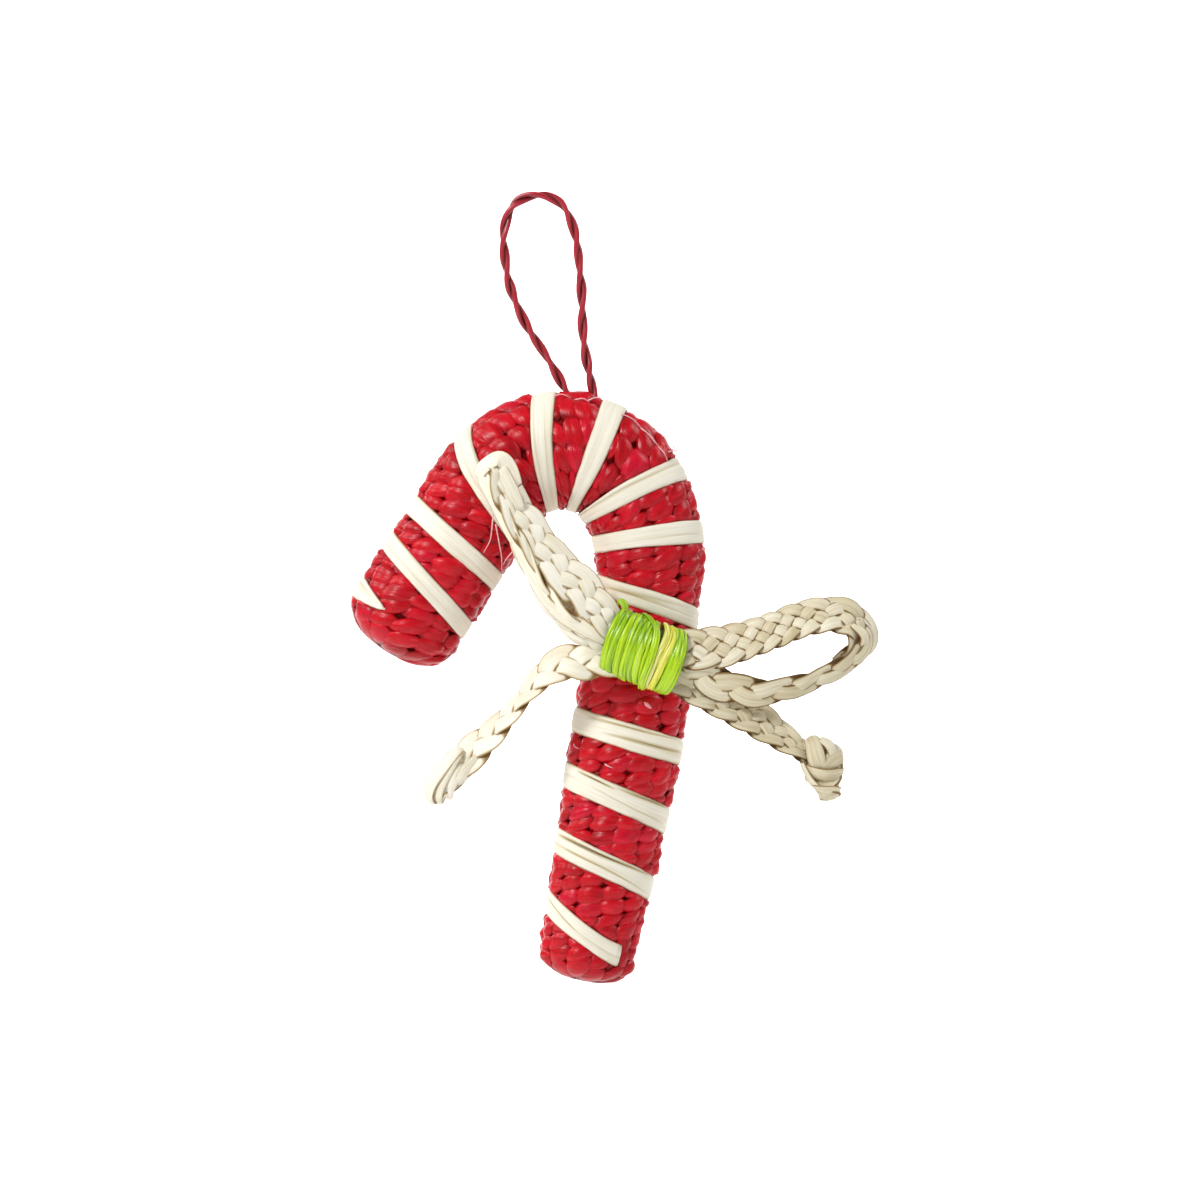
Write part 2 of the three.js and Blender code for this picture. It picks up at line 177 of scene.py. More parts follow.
def smooth_run(stations, step):
    """Stations, each a tuple that starts with x, y, z, as an even run with a given step."""
    padded = [stations[0], *stations, stations[-1]]
    fine = []
    for gap in range(len(stations) - 1):
        four = padded[gap : gap + 4]
        for cut in range(CUTS_PER_GAP):
            t = cut / CUTS_PER_GAP
            fine.append([catmull(*values, t) for values in zip(*four)])
    fine.append(list(stations[-1]))
    lengths = [0.0]
    for before, after in zip(fine, fine[1:]):
        lengths.append(lengths[-1] + math.dist(before[:3], after[:3]))
    count = max(2, round(lengths[-1] / step))
    even = []
    at = 0
    for cut in range(count + 1):
        wanted = lengths[-1] * cut / count
        while at < len(fine) - 2 and lengths[at + 1] < wanted:
            at += 1
        t = (wanted - lengths[at]) / max(lengths[at + 1] - lengths[at], 1e-9)
        even.append([u + (v - u) * t for u, v in zip(fine[at], fine[at + 1])])
    return even, lengths[-1]


def smoothstep(value, low, high):
    """0 below low, 1 above high, and a soft ramp between."""
    t = min(max((value - low) / (high - low), 0.0), 1.0)
    return t * t * (3 - 2 * t)


def lerp(a, b, t):
    """Value a part t of the way from a to b."""
    return a + (b - a) * t


# %% [markdown]
# ## Shape of the cane
# The cane's middle line is a straight short leg, then arcs that meet smoothly: two for the crown,
# one for the shoulder, a gentle bend and a shaft that is barely curved. Working it out from a few
# radii and angles is shorter and smoother than placing points by hand. It is then slid so that it
# fits the CAD cane's own box.

# %% Middle line of the cane, in millimetres
CANE_RUNS = [
    {"length": 42.1},
    {"radius": 19.3, "bend": math.radians(57.3)},
    {"radius": 17.5, "bend": math.radians(55)},
    {"radius": 29.0, "bend": math.radians(35)},
    {"radius": 90.0, "bend": math.radians(7.5)},
    {"radius": 1180.0, "bend": math.radians(4)},
]
TIP_HEADING = math.radians(57.3)
for run in CANE_RUNS:
    run.setdefault("length", run.get("radius", 0) * run.get("bend", 0))
CANE_LENGTH = sum(run["length"] for run in CANE_RUNS)
LINE_STEP = 0.25


def walk_the_cane():
    """Points of the middle line every LINE_STEP, as (x, z, heading) from the hook's tip."""
    places = [(0.0, 0.0, TIP_HEADING)]
    count = round(CANE_LENGTH / LINE_STEP)
    step = CANE_LENGTH / count
    for cut in range(count):
        x, z, heading = places[-1]
        left = (cut + 0.5) * step
        bend = 0.0
        for run in CANE_RUNS:
            if left <= run["length"] or run is CANE_RUNS[-1]:
                bend = 1 / run["radius"] if "radius" in run else 0.0
                break
            left -= run["length"]
        middle = heading - bend * step / 2
        x += step * math.cos(middle)
        z += step * math.sin(middle)
        places.append((x, z, heading - bend * step))
    return places, step


cane_line, line_step = walk_the_cane()
cane_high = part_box("woven_cane")[1] / MM
CROWN_HALF_WIDTH = 12.4
SHAFT_HALF_WIDTH = 11.9
# The CAD cane's lobes stand a little proud of the plain skin at its top and at its right side.
LOBE_PROUD = 0.5
slide_z = cane_high.z - LOBE_PROUD - CROWN_HALF_WIDTH - max(z for _, z, _ in cane_line)
slide_x = cane_high.x - LOBE_PROUD - SHAFT_HALF_WIDTH - max(x for x, _, _ in cane_line)
print("cane length", round(CANE_LENGTH, 1), "mm, slid by", round(slide_x, 1), round(slide_z, 1))


def centreline(along):
    """Point and heading of the cane's middle line, in millimetres along it."""
    at = min(max(along / line_step, 0.0), len(cane_line) - 1.001)
    below = int(at)
    t = at - below
    x, z, heading = (lerp(a, b, t) for a, b in zip(cane_line[below], cane_line[below + 1]))
    return x + slide_x, z + slide_z, heading


for end, along in (("tip", 0), ("foot", CANE_LENGTH)):
    print("cane's", end, "at x and z", [round(v, 1) for v in centreline(along)[:2]])

# %% [markdown]
# ## Skin of the cane
# The cane is wider across the front than it is deep, and its width changes a little along it. Both
# of its ends round off. `skin` gives any point of it, with `lift` millimetres added outwards, so a
# lobe, a strip or a thread can lie on the cane wherever it is. A turn of 0 is the front and a
# quarter turn is the outside of the hook.

# %% Skin of the cane
CANE_WIDTHS = [
    (0, 24.8), (30, 24.6), (62, 24.8), (93, 23.2), (104, 21.8), (120, 22.8),
    (138, 23.9), (158, 22.4), (178, 20.2), (CANE_LENGTH, 19.4),
]
THICKNESS_RATIO = 0.85
TIP_ROUNDING = 9.0
FOOT_ROUNDING = 6.0
END_SQUARENESS = 2.4
# Lobes on the rounded ends keep at least this share of their height.
LEAST_LIFT = 0.7
RINGS_PER_MM = 4
FULL_TURN = 2 * math.pi


def between(stations, along):
    """Value on the smooth curve through (along, value) stations."""
    before = stations[0]
    for after in stations[1:]:
        if along <= after[0] or after is stations[-1]:
            return lerp(before[1], after[1], smoothstep(along, before[0], after[0]))
        before = after
    return stations[-1][1]


def fullness(along):
    """1 along the cane, falling to 0 at its rounded ends."""
    inward = min(along / TIP_ROUNDING, (CANE_LENGTH - along) / FOOT_ROUNDING, 1.0)
    return (1 - (1 - max(inward, 0.0)) ** END_SQUARENESS) ** (1 / END_SQUARENESS)


@lru_cache(maxsize=None)
def ring_of(number):
    """Centre, sideways direction, half width and fullness of the cane at one of its rings."""
    along = number / RINGS_PER_MM
    x, z, heading = centreline(along)
    half = between(CANE_WIDTHS, along) / 2
    return x, z, math.sin(heading), math.cos(heading), half, fullness(along)


def skin(along, turn, lift):
    """Point on the cane's skin, in metres."""
    at = min(max(along, 0.0), CANE_LENGTH) * RINGS_PER_MM
    below = int(at)
    t = at - below
    low = ring_of(below)
    high = ring_of(min(below + 1, int(CANE_LENGTH * RINGS_PER_MM)))
    x, z, sine, cosine, half, full = (lerp(a, b, t) for a, b in zip(low, high))
    lift *= max(full, LEAST_LIFT)
    across = (half * full + lift) * math.sin(turn)
    depth = -(half * THICKNESS_RATIO * full + lift) * math.cos(turn)
    return Vector((x - across * sine, depth, z + across * cosine)) * MM


def stretch(along, turn):
    """How much longer the skin is than the middle line: over 1 outside the hook, under 1 inside."""
    return (skin(along + 0.5, turn, 0) - skin(along - 0.5, turn, 0)).length / MM


# %% [markdown]
# ## Where the pale strip runs
# The strip is wound on after the cane is woven, and it presses the lobes under it flat. Its path
# has to be known before the lobes are laid. It is given as the places where each turn rounds the
# inner and the outer side of the hook, because those are what a maker sets by hand, and a smooth
# curve joins them.

# %% Path of the strip
# Millimetres along the cane where each turn rounds the inner and then the outer side of the hook.
STRIP_TURNS = [
    (13.5, 21.0), (26.1, 30.6), (36.0, 47.0), (55.3, 59.2), (69.2, 68.5), (78.6, 81.1), (90.0, 91.5),
    (101.9, 107.6), (117.0, 121.6), (133.1, 136.9), (145.5, 152.1), (160.4, 167.2),
]
# Its start, first outer side, last inner side and end, as turns and millimetres along the cane.
STRIP_START = (-0.69, 7.8)
STRIP_FIRST_OUTER = (-0.5, 9.0)
STRIP_LAST_INNER = (len(STRIP_TURNS), 174.2)
STRIP_END = (len(STRIP_TURNS) + 0.37, 182.6)
# Its width at some of its turns.
STRIP_WIDTHS = [
    (-0.7, 4.7), (6.5, 4.7), (8.5, 5.2), (9.3, 5.9), (10.6, 6.1), (11.6, 5.5), (12.4, 5.0),
]
# How much it fans out where the skin is stretched, and how much its slant eases at the sides.
STRIP_FAN = 0.4
STRIP_EASE = 0.3
# Its leaf point: the turns it takes to reach full width, and how wide it starts.
STRIP_POINT_TURNS = 0.13
STRIP_POINT_SHARE = 0.12
# A distance in millimetres that is clear of anything.
FAR_AWAY = 99

strip_knots = [STRIP_START, STRIP_FIRST_OUTER]
for whole, (inner, outer) in enumerate(STRIP_TURNS):
    strip_knots += [(whole, inner), (whole + 0.5, outer)]
strip_knots += [STRIP_LAST_INNER, STRIP_END]


def knot_slope(at):
    """Slope of the strip's path at a knot, eased so that it slants most across the front."""
    before = strip_knots[max(at - 1, 0)]
    after = strip_knots[min(at + 1, len(strip_knots) - 1)]
    return STRIP_EASE * (after[1] - before[1]) / (after[0] - before[0])


def strip_along(turns):
    """Millimetres along the cane of the strip's middle, after some turns round it."""
    at = 1
    while at < len(strip_knots) - 1 and turns > strip_knots[at][0]:
        at += 1
    (x0, v0), (x1, v1) = strip_knots[at - 1], strip_knots[at]
    span = x1 - x0
    t = min(max((turns - x0) / span, 0.0), 1.0)
    start = (2 * t**3 - 3 * t**2 + 1) * v0 + (t**3 - 2 * t**2 + t) * span * knot_slope(at - 1)
    end = (3 * t**2 - 2 * t**3) * v1 + (t**3 - t**2) * span * knot_slope(at)
    return start + end


def strip_width(turns, skin_stretch):
    """The strip is a little wider low on the shaft, and it fans out on the outside of the hook."""
    from_point = max(turns - STRIP_START[0], 0.0) / STRIP_POINT_TURNS
    pointed = min(1.0, STRIP_POINT_SHARE + (1 - STRIP_POINT_SHARE) * from_point**0.6)
    return between(STRIP_WIDTHS, turns) * skin_stretch**STRIP_FAN * pointed


@lru_cache(maxsize=None)
def strip_crossings(degree):
    """Places along the cane where the strip crosses a line at a whole degree, and its turns there."""
    fraction = degree / 360 + 0.25
    turns_there = [fraction + whole for whole in range(-2, len(STRIP_TURNS) + 2)]
    return [(strip_along(t), t) for t in turns_there if STRIP_START[0] <= t <= STRIP_END[0]]


@lru_cache(maxsize=None)
def coarse_stretch(millimetres, degree):
    """The skin's stretch at a whole millimetre and degree, kept because it is asked for often."""
    return stretch(millimetres, math.radians(degree))


def clear_of_strip(along, turn):
    """Clear distance on the skin, in millimetres, from a place to the strip's nearest edge."""
    degree = round(math.degrees(turn)) % 360
    here = coarse_stretch(round(along), degree - degree % 10)
    return min(
        (
            abs(along - at) * here - strip_width(turns, here) / 2
            for at, turns in strip_crossings(degree)
        ),
        default=FAR_AWAY,
    )


print("strip makes", round(STRIP_END[0] - STRIP_START[0], 1), "turns round the cane")

# %% [markdown]
# ## Colours and nodes
# Colours are written as the hex codes that a painter's chart gives. Blender's shaders count in
# linear light, so one function turns a code into what a shader takes. Each material is a small
# tree of nodes. Adding a node, setting it and joining it up is always the same work, so a second
# function does that for every kind of node.

# %% Hex colours and adding a node
# Up to this value the sRGB curve is a straight line.
STRAIGHT_PART = 0.04045


def hex_colour(code):
    """An sRGB hex colour as the linear values that a shader takes."""
    channels = [int(code[i : i + 2], 16) / 255 for i in (1, 3, 5)]
    linear = [
        c / 12.92 if c <= STRAIGHT_PART else ((c + 0.055) / 1.055) ** 2.4 for c in channels
    ]
    return (*linear, 1.0)


def add_node(tree, kind, inputs=None, stops=None, **settings):
    """Adds a node. An input is a value or an output socket; stops are a colour ramp's colours."""
    node = tree.nodes.new(kind)
    for name, value in settings.items():
        setattr(node, name, value)
    for name, value in (inputs or {}).items():
        if isinstance(value, bpy.types.NodeSocket):
            tree.links.new(value, node.inputs[name])
        else:
            node.inputs[name].default_value = value
    for at, (position, code) in enumerate(stops or []):
        elements = node.color_ramp.elements
        element = elements[at] if at < 2 else elements.new(position)
        element.position = position
        element.color = hex_colour(code)
    return node


# %% [markdown]
# ## White sweep
# Product shots stand before a roll of paper that curves up from floor to wall, so that no edge
# shows. Two planes with a rounded corner would do, but one edge can make it all: it is pulled back
# as the floor, spun up through a quarter turn and pulled up as the wall. The wall stands so far
# back that the ornament can also be looked at from behind.

# %% Paper sweep
# Matt white paper: it gives the eye nothing but a soft, even ground.
paper = bpy.data.materials.new("white_paper_sweep")
paper.use_nodes = True
paper_shader = paper.node_tree.nodes["Principled BSDF"]
paper_shader.inputs["Base Color"].default_value = hex_colour("#FBFBFA")
paper_shader.inputs["Roughness"].default_value = 0.9

FLOOR_BELOW = 0.34
SWEEP_BACK = 2.95
SWEEP_BEND = 0.35
BEND_STEPS = 16
SWEEP_WIDTH = 5.0
SWEEP_FRONT = 3.0
SWEEP_TOP = 2.4
sweep_work = bmesh.new()
edge_start = sweep_work.verts.new((-SWEEP_WIDTH / 2, -SWEEP_FRONT, -FLOOR_BELOW))
edge_end = sweep_work.verts.new((SWEEP_WIDTH / 2, -SWEEP_FRONT, -FLOOR_BELOW))
front_edge = sweep_work.edges.new((edge_start, edge_end))


def pull(work, edges, offset):
    """Extrudes edges and moves the new ones."""
    grown = bmesh.ops.extrude_edge_only(work, edges=edges)["geom"]
    verts = [g for g in grown if isinstance(g, bmesh.types.BMVert)]
    bmesh.ops.translate(work, verts=verts, vec=offset)
    return [g for g in grown if isinstance(g, bmesh.types.BMEdge) and all(v in verts for v in g.verts)]


sweep_edges = pull(sweep_work, [front_edge], (0, SWEEP_FRONT + SWEEP_BACK, 0))
spun = bmesh.ops.spin(
    sweep_work,
    geom=sweep_edges + list({v for e in sweep_edges for v in e.verts}),
    cent=(0, SWEEP_BACK, -FLOOR_BELOW + SWEEP_BEND),
    axis=(1, 0, 0),
    angle=math.radians(90),
    steps=BEND_STEPS,
    use_merge=False,
)
top_edges = [g for g in spun["geom_last"] if isinstance(g, bmesh.types.BMEdge)]
pull(sweep_work, top_edges, (0, 0, SWEEP_TOP))
sweep_mesh = bpy.data.meshes.new("paper_sweep")
sweep_work.to_mesh(sweep_mesh)
sweep_work.free()
for polygon in sweep_mesh.polygons:
    polygon.use_smooth = True
sweep_mesh.materials.append(paper)
sweep = bpy.data.objects.new("paper_sweep", sweep_mesh)
bpy.context.collection.objects.link(sweep)
print("sweep's wall stands", round(SWEEP_BACK + SWEEP_BEND, 2), "m behind the ornament")

# %% [markdown]
# ## Light
# Straw needs light that shapes it softly. One lamp from the upper left makes the small shadows
# between lobes, and a wide, weaker one from the right opens them up. The sweep has lamps of its
# own, near its floor and near its wall, so that it stays near white behind pale straw. A dim white
# world fills in from all sides.

# %% Lamps and world
WHITE = (1.0, 1.0, 1.0, 1.0)
WORLD_STRENGTH = 0.24


def add_lamp(name, place, size, watts, target):
    """A square, white, soft lamp that faces a target."""
    data = bpy.data.lights.new(name, "AREA")
    data.shape = "SQUARE"
    data.size = size
    data.energy = watts
    lamp = bpy.data.objects.new(name, data)
    lamp.location = place
    lamp.rotation_euler = (Vector(target) - Vector(place)).to_track_quat("-Z", "Y").to_euler()
    bpy.context.collection.objects.link(lamp)


middle = (cad_low + cad_high) / 2
add_lamp("key_softbox", (-0.75, -0.95, 0.8), 0.28, 15.5, middle)
add_lamp("fill_softbox", (1.1, -0.9, -0.1), 0.9, 1.7, middle)
for side, sign in (("left", -1), ("right", 1)):
    add_lamp("sweep_lamp_" + side, (sign * 1.2, 0.1, 0.9), 0.8, 12, (0, 1.2, 0.1))
    add_lamp("wall_lamp_" + side, (sign * 1.4, 1.9, 1.0), 0.8, 48, (0, 3.3, -0.1))

world = bpy.data.worlds.new("white_studio")
world.use_nodes = True
world.node_tree.nodes["Background"].inputs["Color"].default_value = WHITE
world.node_tree.nodes["Background"].inputs["Strength"].default_value = WORLD_STRENGTH
bpy.context.scene.world = world
bpy.context.scene.view_settings.view_transform = "Standard"
print("lamps:", [lamp.name for lamp in bpy.data.lights])

# %% [markdown]
# ## Materials of straw
# All the straws share their make-up: a grain that runs along each straw, a tone that differs from straw to
# straw, and painted shade that darkens a straw's sides where it sinks between its neighbours. Each finish
# still gets a material of its own, because dyed straw, bleached raffia and raw plait differ in colour, in
# gloss and in how strongly their fibres show.

# %% How a straw finish is put together
# How far apart in the noise two neighbouring straws lie, so that their fibres differ.
STRAWS_APART = 7.3
STRAW_IOR = 1.45
FIBRE_BUMP_STRENGTH = 0.6


def straw_finish(name, straws, fibres, crease_shade, fibres_per_mm, streak_mm, bump_mm, **shader):
    """A straw material: tones by straw and by fibre, painted shade by depth, and the shader's own
    constants.
    """
    material = bpy.data.materials.new(name)
    material.use_nodes = True
    tree = material.node_tree
    principled = tree.nodes["Principled BSDF"]
    grain = add_node(tree, "ShaderNodeAttribute", attribute_name=GRAIN).outputs["Vector"]
    height = add_node(tree, "ShaderNodeAttribute", attribute_name=PAINTED_SHADE).outputs["Fac"]
    scale = (fibres_per_mm, 1 / streak_mm, STRAWS_APART)
    drawn = add_node(tree, "ShaderNodeVectorMath", {0: grain, 1: scale}, operation="MULTIPLY")
    noise_inputs = {"Vector": drawn.outputs[0], "Scale": 1.0, "Detail": 3.0, "Roughness": 0.6}
    streaks = add_node(tree, "ShaderNodeTexNoise", noise_inputs).outputs["Fac"]
    parts = add_node(tree, "ShaderNodeSeparateXYZ", {0: grain})
    chance_inputs = {"W": parts.outputs["Z"]}
    chance = add_node(tree, "ShaderNodeTexWhiteNoise", chance_inputs, noise_dimensions="1D")
    by_straw = add_node(tree, "ShaderNodeValToRGB", {0: chance.outputs["Value"]}, straws).outputs[0]
    by_fibre = add_node(tree, "ShaderNodeValToRGB", {0: streaks}, fibres).outputs[0]
    by_painted_shade = add_node(tree, "ShaderNodeValToRGB", {0: height}, crease_shade).outputs[0]
    skin_inputs = {0: 0.5, 6: by_straw, 7: by_fibre}
    skin_tone = add_node(tree, "ShaderNodeMix", skin_inputs, data_type="RGBA").outputs[2]
    shade_inputs = {0: 1.0, 6: skin_tone, 7: by_painted_shade}
    shaded = add_node(
        tree, "ShaderNodeMix", shade_inputs, data_type="RGBA", blend_type="MULTIPLY"
    ).outputs[2]
    tree.links.new(shaded, principled.inputs["Base Color"])
    bump_inputs = {
        "Height": streaks,
        "Distance": bump_mm * MM,
        "Strength": FIBRE_BUMP_STRENGTH,
    }
    bump = add_node(tree, "ShaderNodeBump", bump_inputs).outputs["Normal"]
    tree.links.new(bump, principled.inputs["Normal"])
    for socket, value in {"IOR": STRAW_IOR, **shader}.items():
        principled.inputs[socket.replace("_", " ")].default_value = value
    return material


# %% [markdown]
# ## Crimson dyed straw
# The cane's straw is dyed in the bundle, so no two straws take quite the same red. One flat red
# with gloss would look like plastic. So four reds are dealt out by straw number, and the fibres of
# each straw run through a darker and a lighter red.

# %% Crimson dyed straw
# Dyed straw keeps the straw's waxy skin, so each fat lobe carries a soft pinkish highlight. Where lobes
# sink between their neighbours the red is painted darker, as painted shade.
crimson_straw = straw_finish(
    "crimson_dyed_straw",
    straws=[(0.0, "#94030F"), (0.4, "#B80516"), (0.8, "#CC081E"), (1.0, "#D01038")],
    fibres=[(0.25, "#82020E"), (0.5, "#C00516"), (0.72, "#E01832")],
    crease_shade=[(0.0, "#B43C44"), (0.35, "#A87078"), (0.75, "#FFFFFF")],
    fibres_per_mm=1.3,
    streak_mm=5.0,
    bump_mm=0.34,
    Roughness=0.32,
    Specular_IOR_Level=0.32,
)

# %% [markdown]
# ## Bleached raffia
# The strip is one leaf of raffia palm, bleached and split lengthwise. A plain cream would do from
# far off, but close up the leaf's parallel veins show, so they are drawn long and fine.

# %% Bleached raffia strip
# Bleached raffia is a flat leaf: cream, with fine lengthwise veins, some of them tan, and a dry
# satin surface.
bleached_raffia = straw_finish(
    "bleached_raffia_strip",
    straws=[(0.0, "#EEE9D8"), (1.0, "#EEE9D8")],
    fibres=[(0.2, "#C8BA94"), (0.42, "#E6DFCA"), (0.6, "#F1ECDD"), (0.8, "#FBF8EF")],
    # Painted shade: these tones darken the strip's folds and splits, in dark brown.
    crease_shade=[(0.05, "#5E4A2A"), (0.45, "#CFC2A0"), (0.75, "#FFFFFF")],
    fibres_per_mm=3.2,
    streak_mm=14.0,
    bump_mm=0.14,
    Roughness=0.55,
)

# %% [markdown]
# ## Natural straw
# The bow is plaited from straw that is washed but not dyed. Its right half is painted a tone deeper than
# its left, partly the straw's own tone and partly painted shade. One material with a gradient would put the
# change in the middle of straws, so each half gets a finish of its own.

# %% Natural straw plait
# Washed straw is ivory on its faces, with warm brown shade where one straw dives under another.
washed_straw = straw_finish(
    "washed_natural_straw",
    straws=[(0.0, "#E6DEC4"), (0.5, "#F0EAD6"), (1.0, "#F8F4E8")],
    fibres=[(0.22, "#D2C4A0"), (0.5, "#F0EAD8"), (0.8, "#FCFAF2")],
    crease_shade=[(0.05, "#9C7E54"), (0.4, "#CEBE9A"), (0.7, "#FFFFFF")],
    fibres_per_mm=2.6,
    streak_mm=9.0,
    bump_mm=0.16,
    Roughness=0.5,
)
# Tanned straw is duller and browner, partly its own tone and partly painted shade, and its fibres show
# more.
tan_and_shaded_straw = straw_finish(
    "tan_and_painted_shade_straw",
    straws=[(0.0, "#C0B28C"), (0.5, "#D4C9AA"), (1.0, "#EAE4D2")],
    fibres=[(0.22, "#9C8A5C"), (0.42, "#CCC09E"), (0.6, "#E4DCC4"), (0.82, "#F8F4EA")],
    crease_shade=[(0.05, "#72542E"), (0.4, "#AC905E"), (0.7, "#FFFFFF")],
    fibres_per_mm=2.6,
    streak_mm=9.0,
    bump_mm=0.18,
    Roughness=0.5,
)

# %% [markdown]
# ## Lime raffia
# The tie's raffia is dyed a loud green and pulled tight, which makes it shine. A strong plain
# highlight would look like wire, so the gloss is a thin coat over fibres that vary from olive to
# nearly white.

# %% Lime dyed raffia
# The tie is glossy dyed raffia: bright lime, with painted shade, a deeper olive, in its grooves and where
# turns meet.
lime_raffia = straw_finish(
    "lime_dyed_raffia",
    straws=[(0.0, "#8EBA00"), (0.5, "#AED400"), (1.0, "#C8E41C")],
    fibres=[(0.25, "#6A9400"), (0.45, "#A2CE00"), (0.6, "#C0E418"), (0.76, "#F2FCA4")],
    crease_shade=[(0.0, "#465C00"), (0.4, "#9EBC38"), (0.8, "#FFFFFF")],
    fibres_per_mm=2.4,
    streak_mm=12.0,
    bump_mm=0.3,
    Roughness=0.32,
    Coat_Weight=0.25,
    Coat_Roughness=0.2,
)

# %% [markdown]
# ## Raffia that took the dye unevenly
# Dye does not soak in everywhere. On the real tie the green fades to yellow and cream on its right
# side. The fade could be painted along a turn, but it is nearly as wide as a turn, so two whole
# turns get a pale finish of their own.

# %% Raffia that took the dye unevenly
# Half-dyed raffia is yellow to cream, with painted shade in its grooves and at the edges where turns meet,
# tinted by the green dye left there.
uneven_raffia = straw_finish(
    "unevenly_dyed_raffia",
    straws=[(0.0, "#E2E03C"), (1.0, "#F2F0C0")],
    fibres=[(0.3, "#B4D824"), (0.44, "#E8DC20"), (0.56, "#F2EE94"), (0.75, "#FAF2DC")],
    crease_shade=[(0.0, "#6E8A10"), (0.45, "#D0D468"), (0.8, "#FFFFFF")],
    fibres_per_mm=2.4,
    streak_mm=12.0,
    bump_mm=0.12,
    Roughness=0.34,
)

# %% [markdown]
# ## Twisted crimson straw
# The cord is made of the cane's dyed straw, but twisting crushes its waxy skin. The cane's own
# finish would be too bright and too even here, so the cord has a darker and finer one.

# %% Twisted crimson cord
# Hard twisted straw is darker than the lobes and has small bright glints. Each ply is painted darker on the
# side that faces the other, as painted shade.
twisted_straw = straw_finish(
    "twisted_crimson_straw",
    straws=[(0.0, "#A81C2C"), (1.0, "#B02030")],
    fibres=[(0.25, "#7E0E1C"), (0.5, "#A81C2C"), (0.8, "#D04454")],
    crease_shade=[(0.0, "#5A0A14"), (0.5, "#D8B0B4"), (0.8, "#FFFFFF")],
    fibres_per_mm=5.0,
    streak_mm=5.0,
    bump_mm=0.08,
    Roughness=0.34,
    Coat_Weight=0.2,
    Coat_Roughness=0.2,
)

# %% [markdown]
# ## Hanging cord
# The ornament hangs by a loop of cord whose two ends go into the top of the crown. Cord is made by
# twisting plies, so it is laid as two straws that wind round one route, half a turn apart. A single
# tube with a twisted bump would be lighter, but its outline would lack the notches between plies
# and the small gaps that show light.

# %% Route of the cord, x and z in millimetres
LOOP_ROUTE = [
    (6.9, -45.2), (5.6, -42.0), (4.2, -39.4), (1.3, -34.4), (-2.2, -29.1), (-4.9, -23.8),
    (-6.8, -18.5), (-7.7, -13.2), (-8.1, -7.9), (-6.8, -2.6), (-4.3, 0.1), (0.0, 1.1),
    (3.8, -0.2), (6.0, -2.8), (7.8, -7.9), (8.5, -13.2), (9.0, -18.5), (9.3, -23.8),
    (9.4, -29.1), (10.1, -34.4), (11.1, -39.5), (11.6, -41.9), (12.0, -45.2),
]
CORD_STEP = 0.6
loop_line, loop_length = smooth_run([(x, 0.0, z) for x, z in LOOP_ROUTE], CORD_STEP)


def run_frame(line, at):
    """Direction of a run at one of its points, and sideways to it in the front plane."""
    ahead = Vector(line[min(at + 1, len(line) - 1)][:3]) - Vector(line[max(at - 1, 0)][:3])
    ahead.normalize()
    sideways = Vector((-ahead.z, 0.0, ahead.x)).normalized()
    return ahead, sideways


# %% Two plies twisted round one route
PLY_DIAMETER = 1.28
PLY_SIDES = 12
# How far the middle of a ply stays from the middle of the cord, and the length of one twist.
PLY_ORBIT = 0.52
CORD_TWIST = 14.5


def uneven(amount, a, b=0.0, c=0.0):
    """Handwork is never even: a smooth random value up to an amount either way, at (a, b, c)."""
    return amount * noise.noise((a, b, c))


def make_cord():
    """The cord: two straws, half a turn apart, that loosen and swell a little on the way."""
    work = new_straw_work()
    rings = len(loop_line) - 1
    radius = PLY_DIAMETER / 2
    for ply in range(2):

        def place(around, along, ply=ply):
            at = round(along * rings)
            centre = Vector(loop_line[at])
            ahead, sideways = run_frame(loop_line, at)
            outward = ahead.cross(sideways)
            length = at * loop_length / rings
            wind = FULL_TURN * length / CORD_TWIST + uneven(0.5, length * 0.06, 3.0) + ply * math.pi
            orbit = PLY_ORBIT + uneven(0.34, length * 0.13, 1.0)
            ply_centre = centre + (sideways * math.cos(wind) + outward * math.sin(wind)) * orbit
            swell = 1 + uneven(0.2, length * 0.3, ply * 9.0)
            offset = (sideways * math.cos(around) + outward * math.sin(around)) * radius * swell
            # Painted shade: the side of each ply that faces the other ply is painted darker.
            facing = (ply_centre - centre).normalized().dot(offset.normalized())
            return (ply_centre + offset) * MM, around * radius, length, 0.55 + 0.45 * facing

        lay_straw(work, PLY_SIDES, rings, place, ply)
    return finish_piece(work, "hanging_cord", twisted_straw, "hanging_loop")


hanging_cord = make_cord()
print("cord is", round(loop_length, 1), "mm long")

# %% [markdown]
# ## Red woven cane
# The real cane is woven from dyed straws that pass over and under each other, and what shows is a grid of
# short fat lobes, each half a row away from the ones beside it. Weaving whole straws would hide most of
# their length inside. So each visible lobe is a straw of its own whose ends dip under its neighbours, over
# a closed core, painted in the deepest shade, that fills the gaps. Lobes under the pale strip are pressed
# flat.

# %% Core under the lobes, in painted shade
CORE_SUNK = 0.85
CORE_SIDES = 40
CORE_RINGS = 190
CORE_RADIUS = 11


def lay_core(work):
    """The closed core, a little under the cane's skin, in the darkest painted shade."""

    def place(around, along):
        distance = along * CANE_LENGTH
        # Its shade value of 0 gives it the darkest painted shade of the crimson straw.
        return skin(distance, around, -CORE_SUNK), around * CORE_RADIUS, distance, 0.0

    lay_straw(work, CORE_SIDES, CORE_RINGS, place, 0)


# %% [markdown]
# ## One lobe
# A lobe is a short fat fold of straw. It lies across the cane with a slant, its crest is creased,
# and both of its ends dive. A ball squashed flat would give the size but not the creases. The same
# blank straw does it, with its width, lift and fold worked out at each place along it.

